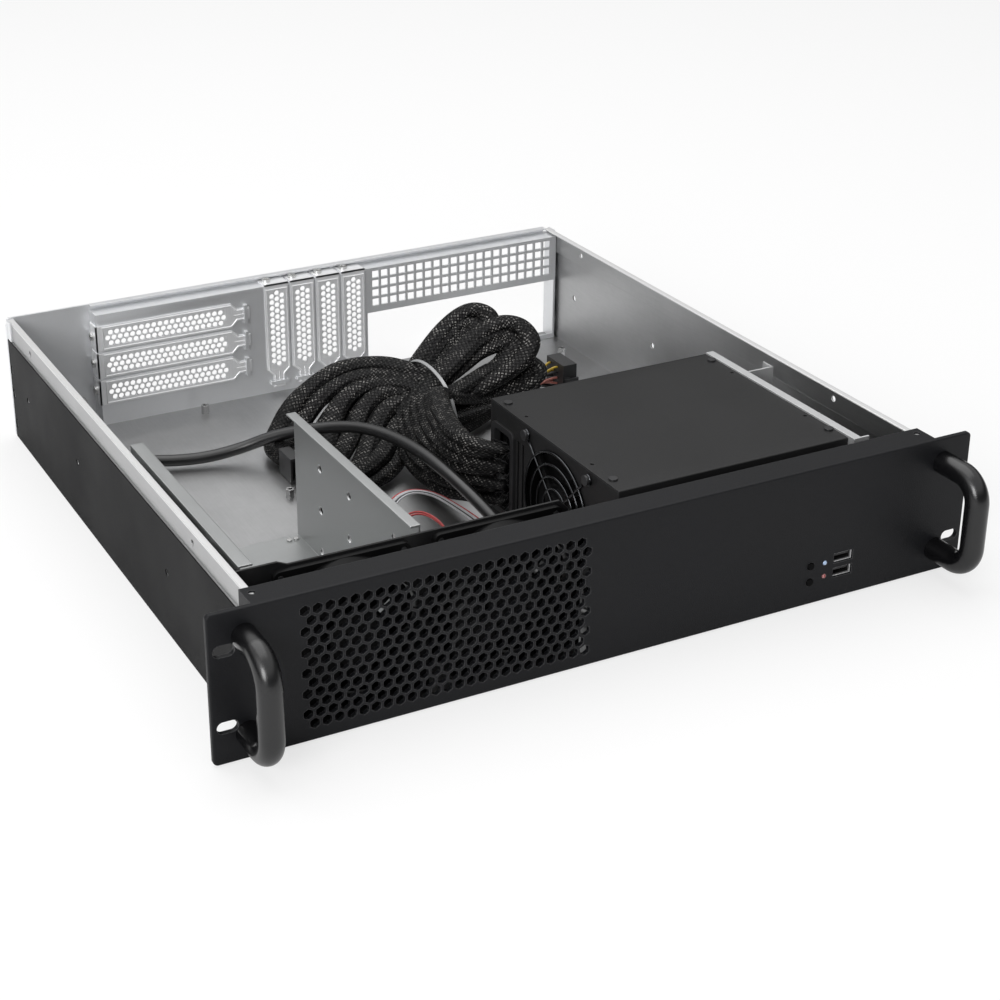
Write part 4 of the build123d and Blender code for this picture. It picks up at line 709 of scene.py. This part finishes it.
def perforated(columns, s, start, thick):
    # staggered rows of round holes: each cell is a square frame round a circle, front, back and bore
    sides = 16
    angle = (np.arange(sides) + 0.5) * 2 * np.pi / sides
    circle = np.c_[np.cos(angle), np.sin(angle)] * s["hole"] / 2 * 1.0
    square = np.c_[np.cos(angle), np.sin(angle)] / np.max(np.abs(np.c_[np.cos(angle), np.sin(angle)]), axis=1)[:, None]
    square = square * (s["pitch"] / 2, s["rowPitch"] / 2)
    centres = np.array([(start + (i + 0.5 * (row % 2 == 0)) * s["pitch"], (row - 1) * s["rowPitch"])
                        for row in range(3) for i in range(columns - (row % 2 == 0))])
    rings = [(square, 0), (circle, 0), (circle, thick), (square, thick)]
    layers = np.stack([np.c_[shape, np.full(sides, depth)] for shape, depth in rings])
    cells = layers[None] + np.c_[centres, np.zeros(len(centres))][:, None, None]
    faces = []
    for i in range(len(centres)):
        faces += gridFaces(4, sides, closeCols=True, start=i * 4 * sides)
    return cells.reshape(-1, 3), faces


def plateStrip(low, high, thick):
    return boxPoints((low[0], low[1], 0), (high[0], high[1], thick))


def makeCover(name, length, toFrame, columns, firstHole, rimStart):
    # built flat with length along u, width along v and thickness towards the rear, then set in place
    s = coverSet
    half, thick = s["width"] / 2, s["thick"]
    hv = 1.5 * s["rowPitch"]
    u0, u1 = firstHole - s["pitch"] / 2, firstHole + (columns - 0.5) * s["pitch"]
    holes = perforated(columns, s, firstHole, thick)
    neck = length - s["tongue"]
    parts = [holes, plateStrip((0, -half), (u0, half), thick), plateStrip((u1, -half), (neck, half), thick),
             plateStrip((u0, hv), (u1, half), thick), plateStrip((u0, -half), (u1, -hv), thick)]
    # the outer rows start half a pitch in, so a half cell closes each of their ends
    for low in (-hv, hv - s["rowPitch"]):
        parts.append(plateStrip((u0, low), (u0 + s["pitch"] / 2, low + s["rowPitch"]), thick))
        parts.append(plateStrip((u1 - s["pitch"] / 2, low), (u1, low + s["rowPitch"]), thick))
    outline = np.array([(neck, half), (neck + 5, 4.5), (length, 4.5), (length, -4.5), (neck + 5, -4.5), (neck, -half)])
    tongue = np.r_[np.c_[outline, np.zeros(6)], np.c_[outline, np.full(6, thick)]]
    sides = [[i, i + 6, (i + 1) % 6 + 6, (i + 1) % 6] for i in range(6)]
    parts.append((tongue, [list(range(6)), list(range(11, 5, -1)), *sides]))
    # rim: a low rounded bead along the pressed outline
    inset = 1.3
    rim = np.array([(rimStart, half - inset), (neck - 0.5, half - inset), (neck + 4, 3.4), (length - 1.5, 3.4),
                    (length - 1.5, -3.4), (neck + 4, -3.4), (neck - 0.5, -half + inset), (rimStart, -half + inset)])
    line = np.c_[rim, np.zeros(8)]
    parts.append(bead(line, s["rim"]))
    slit = np.array([(neck + 1.5, 0.0, 0.0), (length - 3.0, 0.0, 0.0)])
    parts.append(bead(slit, 0.4, closed=False))
    points, faces = joined(parts)
    return toFrame(points), faces


def bead(line, radius, closed=True):
    # half-round bead: five points over the line at every corner, mitred between its two runs
    before, after = np.roll(line, 1, 0), np.roll(line, -1, 0)
    if not closed:
        before[0], after[-1] = line[0] - (line[1] - line[0]), line[-1] + (line[-1] - line[-2])
    run = lambda v: v / np.linalg.norm(v, axis=1)[:, None]
    one, two = run(line - before), run(after - line)
    across = np.c_[-(one + two)[:, 1], (one + two)[:, 0], np.zeros(len(line))]
    across = run(across)
    stretch = 1 / np.maximum(0.5, np.sum(np.c_[-one[:, 1], one[:, 0]] * across[:, :2], axis=1))
    angle = np.linspace(0, np.pi, 6)
    wide = np.cos(angle)[None, :, None] * across[:, None] * stretch[:, None, None] * radius
    lift = -np.sin(angle)[None, :, None] * np.array([0, 0, 1]) * radius
    points = line[:, None] + wide + lift
    faces = [face[::-1] for face in gridFaces(len(line), 6, closeRows=closed)]
    return points, faces


def lyingFrame(z):
    # u runs right from the step, v up, thickness towards the front
    def move(points):
        x = -157.0 + points[:, 0]
        depth = coverSet["cardFace"] - coverSet["thick"] + points[:, 2]
        return place(np.c_[x, depth, z + points[:, 1]])
    return move


def standingFrame(x):
    # u runs down from the shelf, v to the right
    def move(points):
        depth = coverSet["cardFace"] - coverSet["thick"] + points[:, 2]
        return place(np.c_[x + points[:, 1], depth, 85.2 - points[:, 0]])
    return move


def flipFaces(faces):
    return [face[::-1] for face in faces]


for i, z in enumerate((66.6, 66.6 - 20.32, 66.6 - 40.64)):
    points, faces = makeCover("", 115.0, lyingFrame(z), 20, 8.5, 5.0)
    tab = place(np.c_[boxPoints((-157.0, 435.8, z - 9.2), (-156.0, 448.8, z + 9.2))[0]])
    points, faces = joined([(points, faces), (tab, boxPoints((0, 0, 0), (1, 1, 1))[1])])
    cover = makeMesh(f"lyingCover{i + 1}", points, faces, paints["cover"], smooth=False)
    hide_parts(f"slot_cover_lying_{i + 1}")
for i, x in enumerate((40.3, 40.3 - 20.32, 40.3 - 40.64, 40.3 - 60.96)):
    points, faces = makeCover("", 80.0, standingFrame(x), 13, 7.0, 4.0)
    tab = place(np.c_[boxPoints((x - 9.2, 435.8, 84.2), (x + 9.2, 448.8, 85.2))[0]])
    points, faces = joined([(points, flipFaces(faces)), (tab, boxPoints((0, 0, 0), (1, 1, 1))[1])])
    cover = makeMesh(f"standingCover{i + 1}", points, faces, paints["cover"], smooth=False)
    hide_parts(f"slot_cover_standing_{i + 1}")
print("slot covers made")

# Fan guard of the supply: three wire rings on two crossed wires, with an eye at each screw
guardSet = {"middle": (18.0, 101.0, 42.3), "rings": (36.2, 28.7, 21.2, 13.7), "wire": 0.8, "reach": 50.6}


def makeGuard(s):
    # rings and bars are round wires; a ring is a closed circle in the plane of the supply's end
    x, d, z = s["middle"]
    angle = np.linspace(0, 2 * np.pi, 64, endpoint=False)
    small = np.linspace(0, 2 * np.pi, 10, endpoint=False)
    parts = []
    eyes = [(sy * 35.75, sz * 35.75, 3.0) for sy in (-1, 1) for sz in (-1, 1)]
    for cy, cz, radius in [(0, 0, r) for r in s["rings"]] + eyes:
        out = np.c_[np.zeros(64), np.cos(angle), np.sin(angle)]
        ring = out[:, None] * (radius + s["wire"] * np.cos(small))[None, :, None]
        ring = ring + np.array([1, 0, 0]) * (s["wire"] * np.sin(small))[None, :, None]
        ring = ring + (x - s["wire"] - 0.05, d + cy, z + cz)
        parts.append((place(ring), gridFaces(64, 10, closeRows=True, closeCols=True)))
    for turn in (math.pi / 4, 3 * math.pi / 4):
        reach = np.linspace(-s["reach"] + 3, s["reach"] - 3, 12)
        line = np.c_[np.full(12, x - s["wire"] - 0.05), d + reach * math.cos(turn), z + reach * math.sin(turn)]
        points, faces, _ = tubeAlong(place(line), s["wire"] / 1000, 10)
        parts.append((points, faces))
    points, faces = joined(parts)
    guard = makeMesh("supplyGuard", points, faces, paints["wire"])
    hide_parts("psu_guard")


makeGuard(guardSet)

# Fan rotors: a capped hub and seven broad swept blades that nearly meet, as seen behind the grille
rotorSet = {"hub": 17.5, "tip": 36.9, "blades": 7, "cover": 1.34, "sweep": 0.34, "axial": (6.1, 6.6), "middle": 12.5,
            "thick": 1.1,
            "places": {"left": ((-150, 40.5, 42), (1, 0, 0), (0, -1, 0)), "right": ((-56, 40.5, 42), (1, 0, 0), (0, -1, 0)),
                       "psu": ((19, 101, 42.3), (0, 1, 0), (1, 0, 0))}}


def bladeGrid(s, turn):
    # across the blade the angle and the height go from edge to edge together, bent by a parabola for the camber;
    # outwards the angle sweeps on by the square of the radius share
    share, across = np.meshgrid(np.linspace(0, 1, 9), np.linspace(-1, 1, 11), indexing="ij")
    radius = s["hub"] - 0.4 + share * (s["tip"] - s["hub"] + 0.4)
    angle = turn + across * s["cover"] * math.pi / s["blades"] + s["sweep"] * share ** 2
    high = across * (s["axial"][0] + share * (s["axial"][1] - s["axial"][0])) + 1.6 * (1 - across ** 2)
    flat = np.stack([radius * np.cos(angle), radius * np.sin(angle)], -1)
    skins = [np.concatenate([flat, (s["middle"] + high + k * s["thick"] / 2)[..., None]], -1) for k in (-1, 1)]
    count = share.size
    faces = [face[::-1] for face in gridFaces(9, 11)] + gridFaces(9, 11, start=count)
    rim = [i * 11 for i in range(9)] + [88 + j for j in range(1, 11)]
    rim += [i * 11 + 10 for i in range(7, -1, -1)] + list(range(9, 0, -1))
    around = np.array(rim)
    ahead = np.roll(around, -1)
    faces += np.stack([around, ahead, ahead + count, around + count], -1).tolist()
    return np.concatenate([skin.reshape(-1, 3) for skin in skins]), faces


def makeRotor(key, s):
    # the hub is a profile turned round the axis: rim, rounded edge and slightly dished cap
    origin, xDir, zDir = (np.array(v, float) for v in s["places"][key])
    yDir = np.cross(zDir, xDir)
    h = s["hub"]
    profile = np.array([(0, 4.2), (h - 1.4, 4.2), (h - 0.4, 4.6), (h, 5.4), (h, 21.4), (h - 0.5, 22.4), (h - 1.6, 22.9),
                        (h - 4, 22.7), (0, 22.5)])
    angle = np.linspace(0, 2 * np.pi, 48, endpoint=False)
    ring = np.stack([np.cos(angle), np.sin(angle)], -1)
    hub = np.concatenate([profile[:, None, :1] * ring[None], np.broadcast_to(profile[:, None, 1:], (9, 48, 1))], -1)
    faces = [face[::-1] for face in gridFaces(9, 48, closeCols=True)]
    parts = [(hub, faces)] + [bladeGrid(s, 2 * math.pi * i / s["blades"]) for i in range(s["blades"])]
    points, faces = joined(parts)
    placed = origin + points[:, :1] * xDir + points[:, 1:2] * yDir + points[:, 2:] * zDir
    rotor = makeMesh(f"{key}Rotor", place(placed), faces, paints["fan"], body=f"fan_rotor_{key}")
    bm = bmesh.new()
    bm.from_mesh(rotor.data)
    bmesh.ops.remove_doubles(bm, verts=bm.verts, dist=1e-6)
    bmesh.ops.recalc_face_normals(bm, faces=bm.faces)
    bm.to_mesh(rotor.data)
    bm.free()
    split = rotor.modifiers.new("split", "EDGE_SPLIT")
    split.split_angle = math.radians(40)
    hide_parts(f"fan_rotor_{key}")


for key in rotorSet["places"]:
    makeRotor(key, rotorSet)
print("fans made")

# Finishes on the carried-over pieces
finishes = {
    "tray": "tray", "front_panel": "panel", "handle_left": "handle", "handle_right": "handle",
    "handle_screws": "screw", "power_button": "key", "reset_button": "key", "usb_shell_upper": "shell",
    "usb_shell_lower": "shell", "usb_tongue_upper": "plastic", "usb_tongue_lower": "plastic", "io_board": "board",
    "io_studs": "post", "rear_panel": "rear", "slot_screws": "screw", "standoffs": "post", "drive_cage": "cage",
    "cage_screws": "screw", "fan_bracket": "bracket", "fan_frame_left": "fan", "fan_frame_right": "fan",
    "fan_frame_psu": "fan",
    "fan_screws": "darkScrew", "psu_base": "supply", "psu_cover": "supply", "psu_screws": "darkScrew",
    "psu_board": "board", "psu_heatsinks": "sink", "psu_transformer": "tape", "psu_capacitors": "sleeve",
    "exit_grommet": "plastic", "rear_inlet": "plastic", "psu_inlet": "plastic", "inlet_screws": "screw",
    "switch_frame": "plastic", "switch_rocker": "key", "psu_rail": "strip", "lead_plug": "rubber",
    "board_plug": "plastic", "drive_plugs": "plastic", "fan_plug": "plastic", "psu_guard": "wire",
}


def dress(name, material):
    # the node keeps its mesh; welding and splitting at sharp edges only smooth its round faces
    node = nodes[name]
    node.data.materials.clear()
    node.data.materials.append(material)
    node.data.polygons.foreach_set("material_index", np.zeros(len(node.data.polygons), int))
    node.data.polygons.foreach_set("use_smooth", np.ones(len(node.data.polygons), bool))
    weld = node.modifiers.new("weld", "WELD")
    weld.merge_threshold = 1e-6
    split = node.modifiers.new("split", "EDGE_SPLIT")
    split.split_angle = math.radians(32)


for name, finish in finishes.items():
    dress(name, paints[finish])

lampSet = {"colour": (0.30, 0.42, 0.62), "core": (0.22, 0.015, 0.012), "split": 0.0206}


def lampMaterial(s):
    # clear blue lens above, red one below, told apart by height
    material, tree, shader, vector = newMaterial("lampLens")
    axes = addNode(tree, "ShaderNodeSeparateXYZ", {0: vector})
    upper = maths(tree, "GREATER_THAN", axes.outputs[2], s["split"])
    cloud = addNode(tree, "ShaderNodeTexNoise", {"Vector": vector, "Scale": 900.0})
    base = mixColour(tree, upper, s["core"], s["colour"])
    tree.links.new(mixColour(tree, ramp(tree, cloud.outputs[0], 0.4, 0.6, 0.0, 0.2), base, (0.8, 0.8, 0.82)), shader.inputs["Base Color"])
    shader.inputs["Roughness"].default_value = 0.12
    shader.inputs["Coat Weight"].default_value = 0.6
    return material


dress("front_lamps", lampMaterial(lampSet))
print("finishes set")

# Floor and light
studioSet = {"floor": (0.86, 0.86, 0.86), "shadowShare": 0.35, "world": 0.55, "softbox": (0.36, 0.56, 0.12, 1.05),
             "lamps": {"top": ((-0.1, 0.5, 2.1), (0, 0, 0), 2.4, 30.0),
                       "left": ((-1.9, -0.7, 1.3), (0, 0, 0.05), 1.4, 5.0),
                       "front": ((-1.95, -1.75, 1.2), (-0.1, -0.1, 0.05), 1.1, 44.0)}}


def makeFloor(s):
    # pale floor: the camera sees mostly its own white, and the share left over keeps the shadow
    half = 14.0
    corners = [(-half, -half, -0.0006), (half, -half, -0.0006), (half, half, -0.0006), (-half, half, -0.0006)]
    mesh = bpy.data.meshes.new("studioFloor")
    mesh.from_pydata(corners, [], [[0, 1, 2, 3]])
    floor = bpy.data.objects.new("studioFloor", mesh)
    bpy.context.scene.collection.objects.link(floor)
    material = bpy.data.materials.new("floorWhite")
    material.use_nodes = True
    tree = material.node_tree
    tree.nodes.clear()
    end = tree.nodes.new("ShaderNodeOutputMaterial")
    cloud = addNode(tree, "ShaderNodeTexNoise", {"Vector": tree.nodes.new("ShaderNodeTexCoord").outputs["Object"], "Scale": 1.5})
    tone = mixColour(tree, cloud.outputs[0], tuple(c * 0.99 for c in s["floor"]), s["floor"])
    matte = addNode(tree, "ShaderNodeBsdfDiffuse", {"Color": tone})
    glow = addNode(tree, "ShaderNodeEmission", {"Color": (1, 1, 1, 1), "Strength": 1.0})
    path = tree.nodes.new("ShaderNodeLightPath")
    seen = maths(tree, "MAXIMUM", path.outputs["Is Camera Ray"], path.outputs["Is Transmission Ray"])
    share = maths(tree, "MULTIPLY", seen, 1 - s["shadowShare"])
    mix = addNode(tree, "ShaderNodeMixShader", {0: share, 1: matte.outputs[0], 2: glow.outputs[0]})
    tree.links.new(mix.outputs[0], end.inputs[0])
    mesh.materials.append(material)


def makeLights(s):
    for name, (spot, aim, size, power) in s["lamps"].items():
        data = bpy.data.lights.new(f"{name}Lamp", "AREA")
        data.shape, data.size, data.energy = "SQUARE", size, power
        lamp = bpy.data.objects.new(f"{name}Lamp", data)
        bpy.context.scene.collection.objects.link(lamp)
        back = np.array(spot, float) - np.array(aim, float)
        back /= np.linalg.norm(back)
        right = np.cross((0, 1, 0) if abs(back[2]) > 0.95 else (0, 0, 1), back)
        right /= np.linalg.norm(right)
        axes = np.eye(4)
        axes[:3, 0], axes[:3, 1], axes[:3, 2], axes[:3, 3] = right, np.cross(back, right), back, spot
        lamp.matrix_world = Matrix(axes.tolist())
    world = bpy.data.worlds.new("studioWorld")
    bpy.context.scene.world = world
    world.use_nodes = True
    tree = world.node_tree
    tree.nodes.clear()
    end = tree.nodes.new("ShaderNodeOutputWorld")
    path = tree.nodes.new("ShaderNodeLightPath")
    seen = maths(tree, "MAXIMUM", path.outputs["Is Camera Ray"], path.outputs["Is Transmission Ray"])
    # gloss sees a band that is grey low down and white above, as under a broad overhead softbox
    axes = addNode(tree, "ShaderNodeSeparateXYZ", {0: tree.nodes.new("ShaderNodeTexCoord").outputs["Generated"]})
    band = ramp(tree, axes.outputs[2], *s["softbox"])
    strength = maths(tree, "MULTIPLY_ADD", seen, 1.0 - s["world"], s["world"])
    glossy = path.outputs["Is Glossy Ray"]
    strength = maths(tree, "MULTIPLY_ADD", glossy, maths(tree, "SUBTRACT", band, s["world"]), strength)
    sky = addNode(tree, "ShaderNodeBackground", {"Color": (1, 1, 1, 1), "Strength": strength})
    tree.links.new(sky.outputs[0], end.inputs[0])


makeFloor(studioSet)
makeLights(studioSet)
print("studio made")
